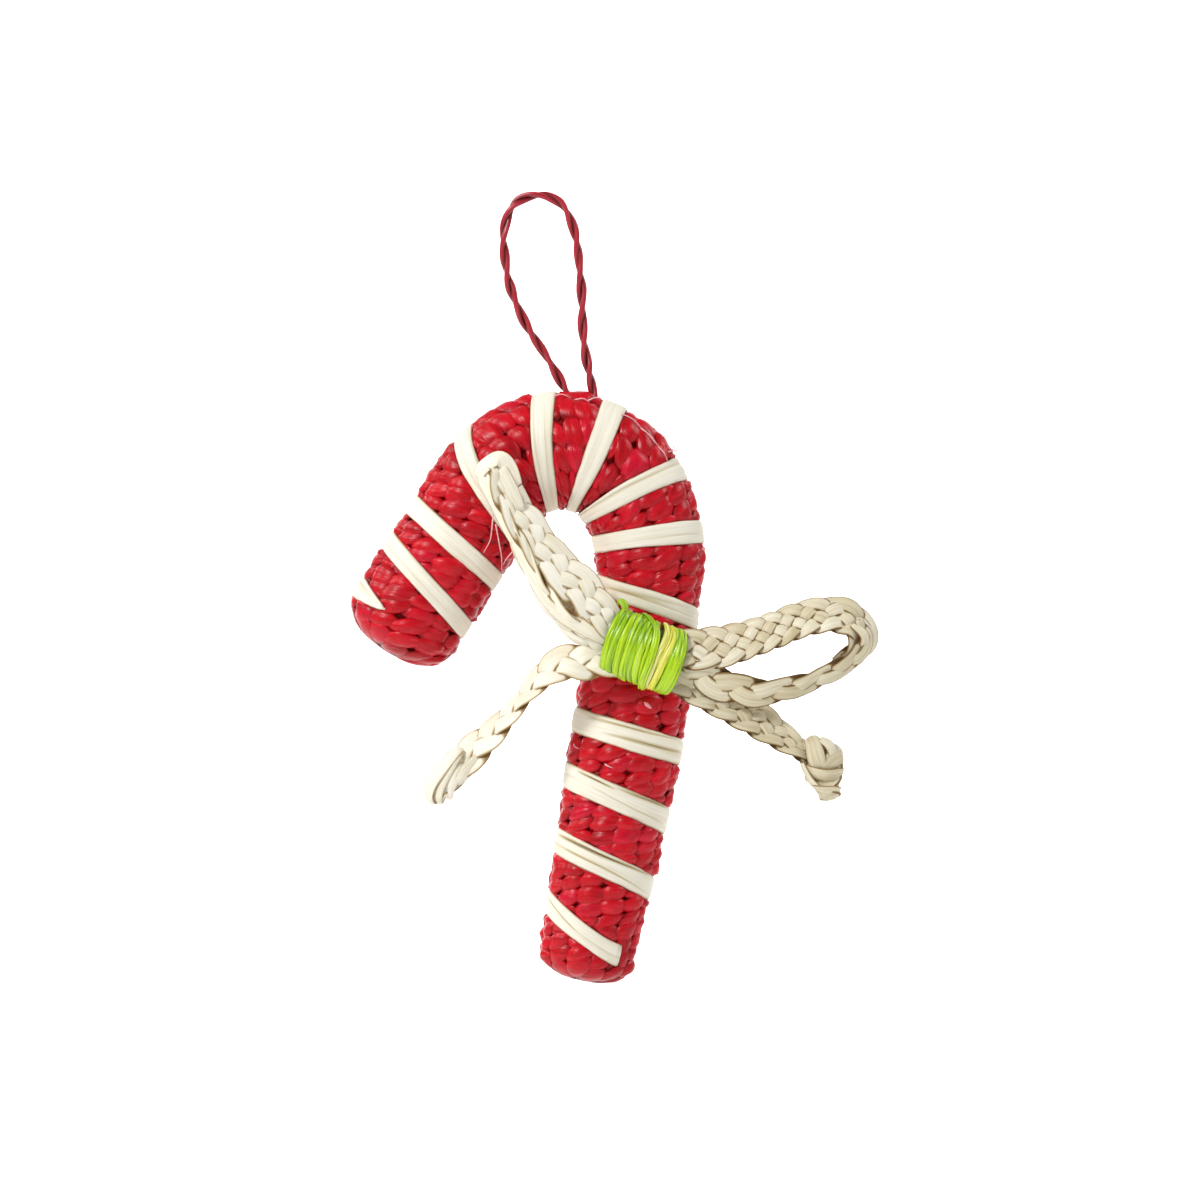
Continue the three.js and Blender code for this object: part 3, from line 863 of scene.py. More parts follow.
# %% Shape of one lobe
# Lobes stand in columns along the cane, and a lobe's reach and height are shares of their spacing.
COLUMNS = 12
ROW_PITCH = 3.2
LOBE_REACH = 0.84
LOBE_TALL = 1.4
# Thickness, height of the crest and depth of the ends, in millimetres from the skin.
LOBE_THICK = 1.9
LOBE_CREST = 1.0
LOBE_DIP = 1.3
LOBE_SLANT = math.tan(math.radians(17))
FOLD_HEIGHT = 0.55
# Lobes under the strip are pressed down to this height.
PRESSED_TO = -0.35
LOBE_SIDES = 10
LOBE_RINGS = 6
# How much one lobe differs from the next, from and to.
REACH_SPREAD = (0.88, 1.12)
SLANT_SPREAD = (-0.2, 0.2)
TALL_SPREAD = (0.86, 1.12)
CREST_SPREAD = (-0.35, 0.2)
LEAN_SPREAD = (-0.25, 0.25)


def lay_lobe(work, dice, along, turn, number):
    """A lobe across the cane, centred at a place on it, whose pointed ends tuck in."""
    half = between(CANE_WIDTHS, along) / 2
    here = max(stretch(along, turn), 0.4)
    reach = FULL_TURN / COLUMNS * LOBE_REACH * dice.uniform(*REACH_SPREAD)
    slant = LOBE_SLANT + dice.uniform(*SLANT_SPREAD)
    tall = ROW_PITCH * LOBE_TALL * dice.uniform(*TALL_SPREAD) / 2
    crest = LOBE_CREST + dice.uniform(*CREST_SPREAD)
    thick = LOBE_THICK / 2 * min(here, 1.0) ** 0.3
    lean = dice.uniform(*LEAN_SPREAD)

    def place(around, part):
        swing = 2 * part - 1
        body = max(0.0, 1 - swing * swing) ** 0.8 * (1 - 0.9 * lean * swing) + 0.05
        at_turn = turn + swing * reach
        tip_to_tip = -slant * swing * reach * half / here
        centre_lift = lerp(-LOBE_DIP, crest - thick, (1 - swing * swing) ** 0.8)
        # The top gets most of the faces, because the underside is never seen.
        around += 0.45 * math.cos(around)
        side = math.cos(around)
        fold = uneven(FOLD_HEIGHT, side * 1.4, swing * 1.3, number * 3.7) * body
        rise = centre_lift + (thick * body**0.6 + fold) * math.sin(around)
        at_along = along + tip_to_tip + side * tall * body
        pressed = 1 - smoothstep(clear_of_strip(at_along, at_turn), -0.7, 0.5)
        if rise > PRESSED_TO:
            rise = lerp(rise, PRESSED_TO, pressed)
        # Painted shade: the deeper a point of a lobe sinks, the darker it is painted.
        depth = smoothstep(rise, -0.7, 0.75)
        return skin(at_along, at_turn, rise), side * tall, swing * reach * half, depth

    lay_straw(work, LOBE_SIDES, LOBE_RINGS, place, number)


# %% [markdown]
# ## All the lobes
# Rows of lobes follow each other from the tip to the foot, and every second column is half a row
# further on, as in a brick wall. An exact grid looks like a machine's work, so each lobe is also
# moved by chance, a little along the cane and a little round it.

# %% Grid of lobes
DICE_SEED = 11
COLUMN_PHASE = math.radians(-10)
FIRST_ROW = 1.2
LAST_ROW = CANE_LENGTH - 1.0
LAST_LOBE = CANE_LENGTH - 0.8
# How far chance moves a lobe along the cane, in millimetres, and round it, in radians.
ALONG_SPREAD = (-0.25, 0.25)
ROUND_SPREAD = (-0.05, 0.05)


def make_cane():
    """The red cane: its core and all of its lobes."""
    dice = random.Random(DICE_SEED)
    work = new_straw_work()
    lay_core(work)
    number = 1
    along = FIRST_ROW
    row = 0
    while along < LAST_ROW:
        for column in range(COLUMNS):
            turn = COLUMN_PHASE + FULL_TURN * column / COLUMNS
            shift = ROW_PITCH / 2 if column % 2 else 0.0
            at = along + shift + dice.uniform(*ALONG_SPREAD)
            if at > LAST_LOBE:
                continue
            lay_lobe(work, dice, at, turn + dice.uniform(*ROUND_SPREAD), number)
            number += 1
        along += ROW_PITCH
        row += 1
    print("lobes laid:", number - 1, "in", row, "rows")
    return finish_piece(work, "red_woven_cane", crimson_straw, "woven_cane")


make_cane()

# %% [markdown]
# ## Pale strip
# A flat strip of raffia is wound round the cane in thirteen turns, from a pointed start on the
# short leg. It could be thirteen separate rings, but then it would not slant, so it is one long
# straw laid flat on the lobes. Real raffia never lies quite flat: soft folds and a few sharp splits
# run along it, so its height varies across it.

# %% Folds and splits of the strip
SOFT_FOLD = 0.12
# A thin groove wanders along the whole strip: its depth and its width.
GROOVE_DEEP = 0.07
GROOVE_WIDE = 0.12
SLIT_DEEP = 0.3
SLIT_WIDE = 0.09
# Where the strip is split or sharply folded: turns from and to, place across it from and to
# (-1 is its upper edge on the shaft), and how deep.
STRIP_SLITS = [
    (0.1, 0.42, 0.3, 0.1, 0.15), (1.08, 1.4, -0.2, -0.45, 0.2), (2.1, 2.45, -0.4, -0.1, 0.2),
    (3.1, 3.45, 0.35, 0.2, 0.15), (4.12, 4.42, -0.3, -0.25, 0.2), (5.1, 5.5, 0.25, 0.1, 0.2),
    (6.1, 6.45, 0.1, 0.3, 0.2), (7.08, 7.46, -0.1, 0.15, 0.35),
    (9.1, 9.44, -0.6, -0.82, 1.0), (9.15, 9.47, 0.25, 0.0, 0.6),
    (10.1, 10.25, -0.66, -0.55, 1.2), (10.24, 10.44, -0.7, -0.82, 0.9), (10.16, 10.48, 0.0, 0.35, 0.6),
    (11.04, 11.42, -0.55, -0.82, 1.2), (11.1, 11.44, 0.2, 0.5, 0.7), (12.0, 12.2, -0.5, 0.2, 0.7),
]


def strip_folds(side, turns):
    """Height of the strip's lengthwise folds at a place across it, in millimetres."""
    wave = uneven(SOFT_FOLD, side * 1.3, turns * 2.3, 4.0)
    wander = uneven(1.7, turns * 0.7, 5.0, 1.0)
    wave -= GROOVE_DEEP * math.exp(-(((side - wander) / GROOVE_WIDE) ** 2))
    for start, end, side_from, side_to, deep in STRIP_SLITS:
        if start < turns < end:
            part = (turns - start) / (end - start)
            middle = lerp(side_from, side_to, part)
            across = math.exp(-(((side - middle) / SLIT_WIDE) ** 2))
            wave -= SLIT_DEEP * deep * math.sin(math.pi * part) ** 0.6 * across
    return wave


# %% Strip wound over the lobes
STRIP_THICK = 0.5
STRIP_LIFT = 0.5
STRIP_STEPS_PER_TURN = 48
STRIP_SIDES = 40
EDGE_DROP = 0.3
EDGE_WANDER = 0.45
# Length of a turn in millimetres, for the veins of its leaf.
LEAF_PER_TURN = 80.0


def make_strip():
    """The pale strip, one flat straw from its pointed start to its end near the foot."""
    work = new_straw_work()
    turns_in_all = STRIP_END[0] - STRIP_START[0]
    rings = round(turns_in_all * STRIP_STEPS_PER_TURN)

    def place(around, part):
        turns = STRIP_START[0] + part * turns_in_all
        angle = (turns - 0.25) * FULL_TURN
        along = strip_along(turns)
        here = stretch(along, angle)
        wide = strip_width(turns, here) / 2
        # Going round the section, even steps across it keep the folds sharp from edge to edge.
        side = 1 - 2 * abs(around) / math.pi
        up = math.copysign((1 - abs(side) ** 8) ** 0.5, around)
        folds = strip_folds(side, turns)
        rise = STRIP_LIFT + folds - EDGE_DROP * side**6 + up * STRIP_THICK / 2
        wander = uneven(EDGE_WANDER, turns * 5.0, side * 1.2 + 7.0)
        point_along = along + (side * wide + wander) / here
        # Painted shade: folds and splits are painted darker, and so are the edges, partly the raffia's own
        # tan edge and partly painted shade.
        depth = 0.85 + folds * 2.4 - 0.45 * side**10
        return skin(point_along, angle, rise), side * wide, turns * LEAF_PER_TURN, depth

    lay_straw(work, STRIP_SIDES, rings, place, 1)
    return finish_piece(work, "pale_wound_strip", bleached_raffia, "wound_strip")


make_strip()

# %% [markdown]
# ## Plaited bow
# The bow is a flat plait, bent into two loops and two tails. It has five straws where it lies open
# and three where it is pulled narrow. The diagonal tiles of a plait could be faked with a bump on a
# band, but the outline of a real plait has soft bumps along both edges. So the straws really go
# over and under each other: each swings from edge to edge, and rises and dips so that it passes
# over one neighbour and under the next.

# %% Courses of the plaits
# Each station is x, y and z, the plait's width, its tilt in degrees and the pitch of its tiles.
RIGHT_LOOP = [
    (24, -15.6, -98.5, 7, 15, 5.5), (32, -16.2, -99.1, 8.4, 22, 5.5), (39.7, -15.6, -98.6, 9.4, 28, 5),
    (45.2, -15.2, -97, 8.7, 30, 4.4), (51.2, -14.8, -95, 8.2, 30, 4.2), (57.4, -14.4, -92.6, 8.2, 31, 4.8),
    (63.2, -14, -91.4, 8.2, 34, 6), (68.6, -13.4, -92.6, 8.4, 38, 7), (70.8, -13.2, -96.4, 8, 44, 7),
    (69, -13.4, -100.2, 7, 50, 7), (65, -13.8, -102.6, 5, 50, 7),
]
RIGHT_RETURN = [
    (69.4, -14.6, -93.2, 3.2, 35, 7), (71.3, -14.9, -96.6, 3.4, 35, 8), (69.6, -15.2, -100.5, 3.6, 35, 8.5),
    (65, -15.4, -103.6, 3.8, 32, 9), (59.4, -15.6, -106.1, 4, 28, 9.5), (53.2, -16, -108, 4.6, 25, 9.5),
    (46.5, -16.2, -108.5, 5.8, 25, 9), (39.5, -16, -106.6, 6.8, 25, 8), (33, -15.8, -104.4, 6.6, 25, 7),
    (25, -15.2, -101.6, 5.2, 20, 6),
]
LEFT_LOOP = [
    (22, -15.4, -98, 5, 15, 6), (15, -16.6, -93, 7.2, 26, 7), (9.6, -17, -86.3, 9, 32, 8),
    (2.5, -17, -79.4, 9.2, 34, 8.4), (-3.6, -17, -70.8, 8.4, 36, 8.4), (-7.6, -16.8, -63.6, 7.4, 42, 8.4),
    (-9, -16.4, -59.6, 6.2, 52, 8), (-11.2, -15.8, -58.6, 5.4, 62, 9),
    (-12, -15.4, -60.8, 5.6, 68, 10), (-9.8, -15.6, -65.4, 6.2, 70, 11),
    (-6.6, -15.9, -71.8, 6.8, 68, 11), (-3.9, -16.1, -77.4, 7.4, 66, 11),
    (-1.0, -16.2, -83.4, 7.8, 66, 11), (2.2, -16.2, -88.8, 8, 64, 10),
    (7, -16, -93.8, 7.6, 56, 9), (13.6, -15.4, -97.8, 6.6, 40, 7), (22, -15, -100, 4.8, 20, 6),
]
LEFT_TAIL = [
    (22, -15, -101.2, 5, 20, 6), (13.2, -15, -101.6, 7.4, 28, 6.5), (7.6, -14.8, -101.8, 8.2, 34, 7),
    (2.9, -14.6, -103.2, 8, 44, 7), (-1.1, -14.4, -106.8, 7.2, 58, 6.5),
    (-4.6, -14, -110.8, 6.6, 62, 6.5), (-8.2, -13.6, -115, 7, 54, 6.5),
    (-12.3, -13.2, -119.2, 7.4, 44, 7), (-17, -12.8, -123.8, 7.4, 34, 7),
    (-20.2, -12.6, -127.2, 6.4, 32, 7), (-21.6, -12.6, -129.2, 4.2, 32, 7),
]
RIGHT_TAIL = [
    (25, -15, -102.6, 5, 20, 5.5), (29.8, -14.4, -105.3, 6.2, 22, 5.8),
    (35.3, -13.4, -108.2, 7.2, 26, 5.8), (40.8, -12.4, -110.8, 8, 30, 5.8),
    (46.3, -12, -113.8, 8.2, 34, 5.8), (50.3, -12, -116.3, 7.8, 36, 6),
    (54.1, -12.2, -119, 6.4, 40, 6), (59, -12.6, -122.2, 5.2, 46, 6),
]

# %% [markdown]
# ## How a strand moves in a plait
# Seen along the plait, every strand does the same thing, a little later than its neighbour. It
# goes to and fro between the edges, and it rises and dips once for each strand that it crosses. At
# an edge it only turns over. One formula gives both, for any number of strands.

# %% Swing and height of a strand


def braid(phase, strands):
    """Sideways place and height of a strand, both from -1 to 1. Each new tile takes two phases."""
    p = phase % (2 * strands)
    u = -math.cos(math.pi * p / strands)
    if 1 <= p <= strands - 1:
        height = -math.cos(math.pi * p)
    elif strands + 1 <= p <= 2 * strands - 1:
        height = math.cos(math.pi * p)
    else:
        turning = p - strands if abs(p - strands) <= 1 else (p + 1) % (2 * strands) - 1
        height = math.sin(math.pi * turning / 2)
    return u, height


# %% [markdown]
# ## Straws over and under
# The plait's course gives a middle line, and at each point of it the direction across the plait.
# Each straw is laid beside that line by its swing and above or below it by its height. Its width follows
# from how steeply it crosses the plait, because parallel straws lie edge to edge. A straw is painted darker
# at its sides and where it dives, as painted shade, which draws the plait's tiles.

# %% One plaited run
STRAND_THICK = 1.0
PLAIT_DEPTH = 0.55
PLAIT_STEP = 0.6
STRAND_SIDES = 14
BACKWARD = Vector((0.0, 1.0, 0.0))
# A strand swings over this share of the plait's width, and fills this share of the tile pitch.
SWING_SHARE = 0.38
FILL_SHARE = 0.53
# Share of its own half width by which the outermost strand stays inside the plait's edge.
EDGE_INSET = 0.58
STRAND_CREASE = 0.12


def lay_plait(work, stations, strands, outside, first_number):
    """Lays the straws of one run; `outside` is the side, 1 or -1, that its tilt turns back."""
    line, length = smooth_run(stations, PLAIT_STEP)
    rings = len(line) - 1
    frames = []
    phase = 0.0
    for at, (x, y, z, width, tilt, pitch) in enumerate(line):
        ahead, sideways = run_frame(line, at)
        tilt = math.radians(tilt)
        across = sideways * outside * math.cos(tilt) + BACKWARD * math.sin(tilt)
        face = ahead.cross(across).normalized()
        slant = math.atan(SWING_SHARE * width * math.pi / strands * 2 / pitch)
        half = FILL_SHARE * pitch * math.sin(slant)
        frames.append((Vector((x, y, z)), across, -face if face.y > 0 else face, width, half, phase))
        phase += 2 * length / rings / pitch

    def strand_centre(at, strand):
        """Middle of a strand at one ring of the run, with its swing and its height."""
        middle, across, face, width, half, phase = frames[min(max(at, 0), rings)]
        u, height = braid(phase + 2 * strand, strands)
        side = u * (width / 2 - EDGE_INSET * half)
        return middle + across * side + face * height * PLAIT_DEPTH, u, height

    for strand in range(strands):

        def place(around, part, strand=strand):
            at = round(part * rings)
            centre, u, height = strand_centre(at, strand)
            travel = strand_centre(at + 1, strand)[0] - strand_centre(at - 1, strand)[0]
            face = frames[at][2]
            wide = face.cross(travel).normalized()
            up = travel.cross(wide).normalized()
            side = math.cos(around)
            top = math.sin(around)
            swell = 1 + uneven(0.16, at * 0.17, first_number + strand * 3.0)
            half = frames[at][4] * swell
            crease = uneven(STRAND_CREASE, side * 2.5, at * 0.08, first_number + strand * 5.0)
            dome = STRAND_THICK / 2 * (1 - 0.62 * side * side) + crease * (1 - side * side)
            offset = wide * math.copysign(abs(side) ** 0.8, side) * half + up * top * dome
            # A straw that dives is shaded on its front, and one that rises is shaded on its back.
            hidden = -height if top > -0.1 else height
            tucked = smoothstep(hidden, -0.35, 0.5) * (1 - smoothstep(abs(u), 0.85, 0.97))
            # Painted shade: the straw's sides and the stretches where it dives are painted darker.
            depth = 1 - 0.9 * smoothstep(abs(side), 0.6, 0.96) - 0.8 * tucked
            return (centre + offset) * MM, side * half, at * length / rings, depth

        lay_straw(work, STRAND_SIDES, rings, place, first_number + strand)


# %% [markdown]
# ## Knot and folds
# Where the plait is knotted or folded double, its tiles give way to a few broad straws that wrap
# round each other. Plaiting through a knot would give a tangle, so each straw that shows there is
# laid by itself, with its flat side turned away from a hub in the middle. A thick straw inside
# fills the knot or fold.

# %% Straws of the knot, the left tail's end and the left loop's top
# Each straw has its thickness, then x, y, z and width at its stations.
KNOT_HUB = Vector((62.0, -12.4, -124.0))
KNOT = [
    (5.4, [(60.2, -12.6, -118.8, 5.4), (61.2, -12.6, -121.4, 7.6), (62, -12.6, -124.3, 8.6),
          (62.6, -12.6, -127.2, 8.2), (63.1, -12.6, -129.4, 7.8), (63.6, -12.6, -131, 7.6),
          (63.9, -12.6, -132.3, 6.8)]),
    (1.1, [(59.4, -13.8, -118.6, 3.2), (60, -15.4, -120.2, 3.9), (60.5, -16.2, -122.4, 4.3),
          (61, -16, -124.2, 4), (61.2, -15.2, -125.4, 3.4)]),
    (1.0, [(61.4, -13.9, -118.9, 2.6), (63, -15.2, -119.6, 3.2), (64, -15.4, -121, 3.2),
          (64.2, -15, -122.6, 2.6)]),
    (1.1, [(66, -13, -122.2, 3.2), (65, -15, -122.8, 3.8), (63.4, -16, -123.9, 4),
          (62.2, -15.6, -125.2, 3.2)]),
    (1.1, [(58.6, -13.2, -125.4, 3), (60.4, -15.4, -126.4, 3.6), (62.9, -16, -126.9, 3.8),
          (65, -15, -126.7, 3.8), (66.1, -13, -126.3, 3)]),
    (1.0, [(57.6, -13, -123.4, 2), (58.4, -14.4, -125.9, 2.4), (60, -15.1, -128.4, 2.5),
          (62.2, -15.4, -129.8, 2)]),
    (1.1, [(60.4, -13.4, -129, 3), (61.8, -14.9, -129.8, 4.2), (63.6, -15.2, -130.1, 4.8),
          (64.6, -14.4, -130.2, 3.8), (64.9, -13, -130, 2.4)]),
    (1.0, [(58.6, -11.6, -119.6, 3), (61, -9.5, -121, 4.4), (64, -9.6, -123.5, 4.4),
          (66, -11.2, -126.4, 3)]),
    (1.0, [(65.6, -11.6, -121, 3), (62.8, -9.3, -123.6, 4.4), (60, -10.2, -127, 3.8),
          (59.4, -11.8, -128.4, 2.8)]),
    (1.0, [(66.2, -11.6, -124, 3), (64.6, -9.8, -127.2, 4.4), (63.4, -10, -130, 4),
          (62.4, -11.8, -131.4, 2.8)]),
]
TAIL_HUB = Vector((-19.0, -11.4, -127.0))
TAIL_FOLD = [
    (1.0, [(-17.8, -14, -121.2, 2.6), (-21, -15, -124.6, 3.5), (-23.6, -15.1, -128, 3.9),
          (-24.5, -14.6, -130.8, 3.6), (-23.6, -13.4, -132.8, 2.6)]),
    (1.0, [(-17.8, -14.6, -122.6, 1.6), (-19.9, -15.5, -126, 1.8), (-21.7, -15.7, -129.4, 2),
          (-22.2, -15.2, -131.8, 1.8), (-21.7, -13.6, -132.8, 1.2)]),
    (1.0, [(-17.2, -14.2, -124.6, 2.2), (-18.5, -15.1, -127, 2.7), (-19.7, -15.1, -129.6, 2.4),
          (-19.8, -13.6, -131.8, 1.6)]),
    (1.0, [(-13.3, -14, -122.6, 2.4), (-15.5, -15, -125.2, 3.1), (-17.2, -15, -127.4, 2.8),
          (-18, -13.6, -129, 1.8)]),
    (3.4, [(-18, -12.6, -124.5, 4), (-20.2, -12.6, -127, 5.4), (-22.2, -12.8, -129.8, 6.6),
          (-22.6, -12.8, -131.4, 6.4), (-22.8, -12.8, -132.8, 5.6)]),
]
LOOP_HUB = Vector((3.0, 14.0, -74.0))
LOOP_FOLD = [
    (1.0, [(-13.2, -15.8, -61.6, 3), (-12.8, -17, -59.8, 3.6), (-10.9, -17.7, -58.1, 3.8),
          (-8.8, -17.8, -57.3, 3.8), (-6.9, -17.5, -59.2, 3.8), (-5.2, -17, -63, 3.2)]),
    (1.0, [(-8.6, -17.2, -58.8, 3), (-8.3, -17.9, -61, 4), (-6.6, -17.8, -64.6, 4.2),
          (-4.6, -17.2, -68.2, 3.2)]),
    (1.0, [(-12.8, -16.2, -59.8, 2.6), (-12, -17.2, -62.2, 3.2), (-9.8, -17.6, -66, 3.6),
          (-6.9, -17.5, -71.8, 3.6), (-4.4, -16.9, -76.6, 3)]),
    (1.0, [(-5.6, -16.8, -74, 3), (-3.6, -17.6, -78, 3.8), (-0.9, -17.8, -83.2, 4),
          (1.8, -17.5, -88, 3.8), (4.2, -16.6, -91.2, 3)]),
    (1.0, [(0.8, -16.8, -87, 3), (4.6, -17.7, -91, 4), (9.4, -17.9, -94, 4.2),
          (14.2, -17.3, -96.4, 3.8), (19, -16, -98.4, 2.8)]),
    (1.6, [(-8.6, -15.2, -64, 2.6), (-4.2, -15.2, -72, 3.2), (0, -15.2, -79.6, 3.4),
          (4.6, -15.2, -87, 3.4), (10, -15, -92.8, 3)]),
]

# %% One broad straw
BAND_STEP = 0.5
# An end goes this far on and this far in towards the hub, and narrows to this share.
TUCK_ON = 0.7
TUCK_IN = 2.0
TUCK_NARROW = 0.8
# A straw at least this thick is the filling of a knot, so its ends stay where they are.
FILLING_THICK = 2
BAND_CREASE = 0.16


def lay_band(work, stations, hub, thick, number):
    """Lays a broad straw with its flat side away from the hub and both ends tucked in."""
    ends = []
    for end, inner in ((stations[0], stations[1]), (stations[-1], stations[-2])):
        onward = (Vector(end[:3]) - Vector(inner[:3])).normalized()
        inward = hub - Vector(end[:3])
        inward = (inward - onward * inward.dot(onward)).normalized()
        tucked = Vector(end[:3]) + onward * TUCK_ON + inward * TUCK_IN
        ends.append((*tucked, end[3] * TUCK_NARROW))
    if thick < FILLING_THICK:
        stations = [ends[0], *stations, ends[1]]
    line, length = smooth_run(stations, BAND_STEP)
    rings = len(line) - 1

    def place(around, part):
        at = round(part * rings)
        here = Vector(line[at][:3])
        travel, _ = run_frame(line, at)
        away = here - hub
        face = (away - travel * away.dot(travel)).normalized()
        wide = face.cross(travel)
        side = math.cos(around)
        top = math.sin(around)
        closing = (1 - abs(2 * part - 1) ** 5) ** 0.5
        half = line[at][3] / 2 * (0.25 + 0.75 * closing)
        crease = uneven(BAND_CREASE, side * 2.3, at * 0.08, number * 2.7)
        dome = thick / 2 * (1 - 0.55 * side * side) + crease * (1 - side * side)
        dome *= 0.15 + 0.85 * closing
        offset = wide * math.copysign(abs(side) ** 0.8, side) * half + face * top * dome
        # Painted shade: a band is painted darker at its sides and towards its tucked ends.
        depth = 1 - 0.7 * smoothstep(abs(side), 0.74, 1.0) - 0.35 * abs(2 * part - 1) ** 6
        return (here + offset) * MM, side * half, at * length / rings, depth

    lay_straw(work, STRAND_SIDES, rings, place, number)


# %% [markdown]
# ## Both halves of the bow
# The tie hides where the bow's left and right halves meet. One mesh would do for both, but they differ in
# tone, partly the straw's own and partly painted shade, so they are two pieces that both stand for the bow.
# Each straw gets a number of its own, which decides its tone and its fibres.

# %% Left half and right half
NUMBERS_PER_RUN = 10
FIRST_BAND_NUMBER = 100
NUMBERS_PER_FOLD = 20


def make_half_bow(name, runs, folds, material):
    """Half of the bow: its plaited runs, then the single straws of its knot or folds."""
    work = new_straw_work()
    for number, (stations, strands, outside) in enumerate(runs):
        lay_plait(work, stations, strands, outside, number * NUMBERS_PER_RUN)
    for fold_number, (bands, hub) in enumerate(folds):
        first = FIRST_BAND_NUMBER + fold_number * NUMBERS_PER_FOLD
        for band_number, (thick, stations) in enumerate(bands):
            lay_band(work, stations, hub, thick, first + band_number)
    return finish_piece(work, name, material, "plaited_bow")


left_runs = [(LEFT_LOOP, 5, -1), (LEFT_TAIL, 3, -1)]
left_folds = [(TAIL_FOLD, TAIL_HUB), (LOOP_FOLD, LOOP_HUB)]
make_half_bow("plaited_bow_left_half", left_runs, left_folds, washed_straw)
right_runs = [(RIGHT_LOOP, 5, 1), (RIGHT_RETURN, 3, 1), (RIGHT_TAIL, 5, 1)]
make_half_bow("plaited_bow_right_half", right_runs, [(KNOT, KNOT_HUB)], tan_and_shaded_straw)

# %% [markdown]
# ## Green tie
# Raffia is wound thirteen times round the middle of the bow. One long spiral would be truer, but a
# real winding is not even: turns lean, bunch up and cross. So each turn is a closed flat straw with
# a lean of its own, and the ends of the barrel step in and out. The last turn lies over the others,
# and the cut end of the raffia sticks out above.

# %% Sizes and turns of the tie
TIE_CENTRE = Vector((22.5, -15.3, -99.5))
TIE_TILT = math.radians(20)
TIE_HALF_HEIGHT = 7.0
TIE_HALF_DEPTH = 4.2
TIE_AXIS = Vector((math.cos(TIE_TILT), 0.0, -math.sin(TIE_TILT)))
TIE_UP = Vector((math.sin(TIE_TILT), 0.0, math.cos(TIE_TILT)))
# Each turn: how far along the tie it lies at its top, above, at, and below its middle and at its
# foot, then its half width and how far it stands out, all in millimetres.
GREEN_TURNS = [
    ((-6.6, -7.5, -7.8, -7.3, -6.6), 0.85, 0.0),
    ((-5.5, -6.2, -6.5, -6.1, -5.1), 0.95, 0.15),
    ((-4.3, -4.6, -4.8, -4.3, -3.3), 1.0, 0.1),
    ((-2.8, -3.1, -3.2, -2.8, -1.8), 0.95, 0.25),
    ((-1.6, -1.8, -1.9, -1.4, -0.4), 0.85, 0.05),
    ((-0.5, -0.5, -0.5, 0.1, 1.2), 0.95, 0.2),
    ((1.0, 1.1, 1.0, 1.4, 2.3), 0.9, 0.0),
    ((5.0, 6.4, 6.8, 6.5, 5.5), 0.9, 0.1),
    ((6.2, 7.4, 8.0, 7.7, 6.8), 0.9, 0.2),
    ((7.0, 8.1, 8.6, 8.5, 7.9), 0.75, -0.05),
    ((-2.2, 1.3, 2.2, 2.2, 2.6), 0.95, 0.75),
]
PALE_TURNS = [
    ((2.8, 3.9, 3.5, 3.1, 3.0), 0.85, 0.25),
    ((4.2, 5.3, 5.1, 4.7, 4.3), 0.9, 0.15),
]
# The raffia's cut end sticks out above the tie, beside the left loop.
CUT_END_HUB = Vector((17.2, -10.0, -89.6))
CUT_END = [
    (17.2, -12.8, -88.8, 1.4), (18.2, -13.2, -88.8, 1.7), (18.7, -13.4, -89.8, 1.9),
    (18.4, -13.4, -91, 1.8),
]

# %% Turns of the tie
TURN_SIDES = 32
TURN_RINGS = 44
TURN_BULGE = 0.36
TURN_RIPPLE = 0.14
# Each turn has two fine grooves: how many, how deep, how wide and how far they wander across it.
GROOVES = 2
TURN_GROOVE_DEEP = 0.15
TURN_GROOVE_WIDE = 0.16
TURN_GROOVE_WANDER = 1.6
# Distance round a turn, in millimetres for each radian, for the fibres.
FIBRE_RADIUS = 6
TOP_SHADE = 0.25
CUT_END_THICK = 0.5
CUT_END_NUMBER = 20


def slide_of(slides, angle):
    """How far along the tie a turn lies at an angle round it; its back runs straight."""
    drop = min(max((math.pi / 2 - angle) / math.pi, 0.0), 1.0) * (len(slides) - 1)
    at = min(int(drop), len(slides) - 2)
    padded = [slides[0], *slides, slides[-1]]
    if abs(angle) <= math.pi / 2:
        return catmull(*padded[at : at + 4], drop - at)
    behind = angle - math.pi / 2 if angle > 0 else angle + 1.5 * math.pi
    return lerp(slides[0], slides[-1], behind / math.pi)


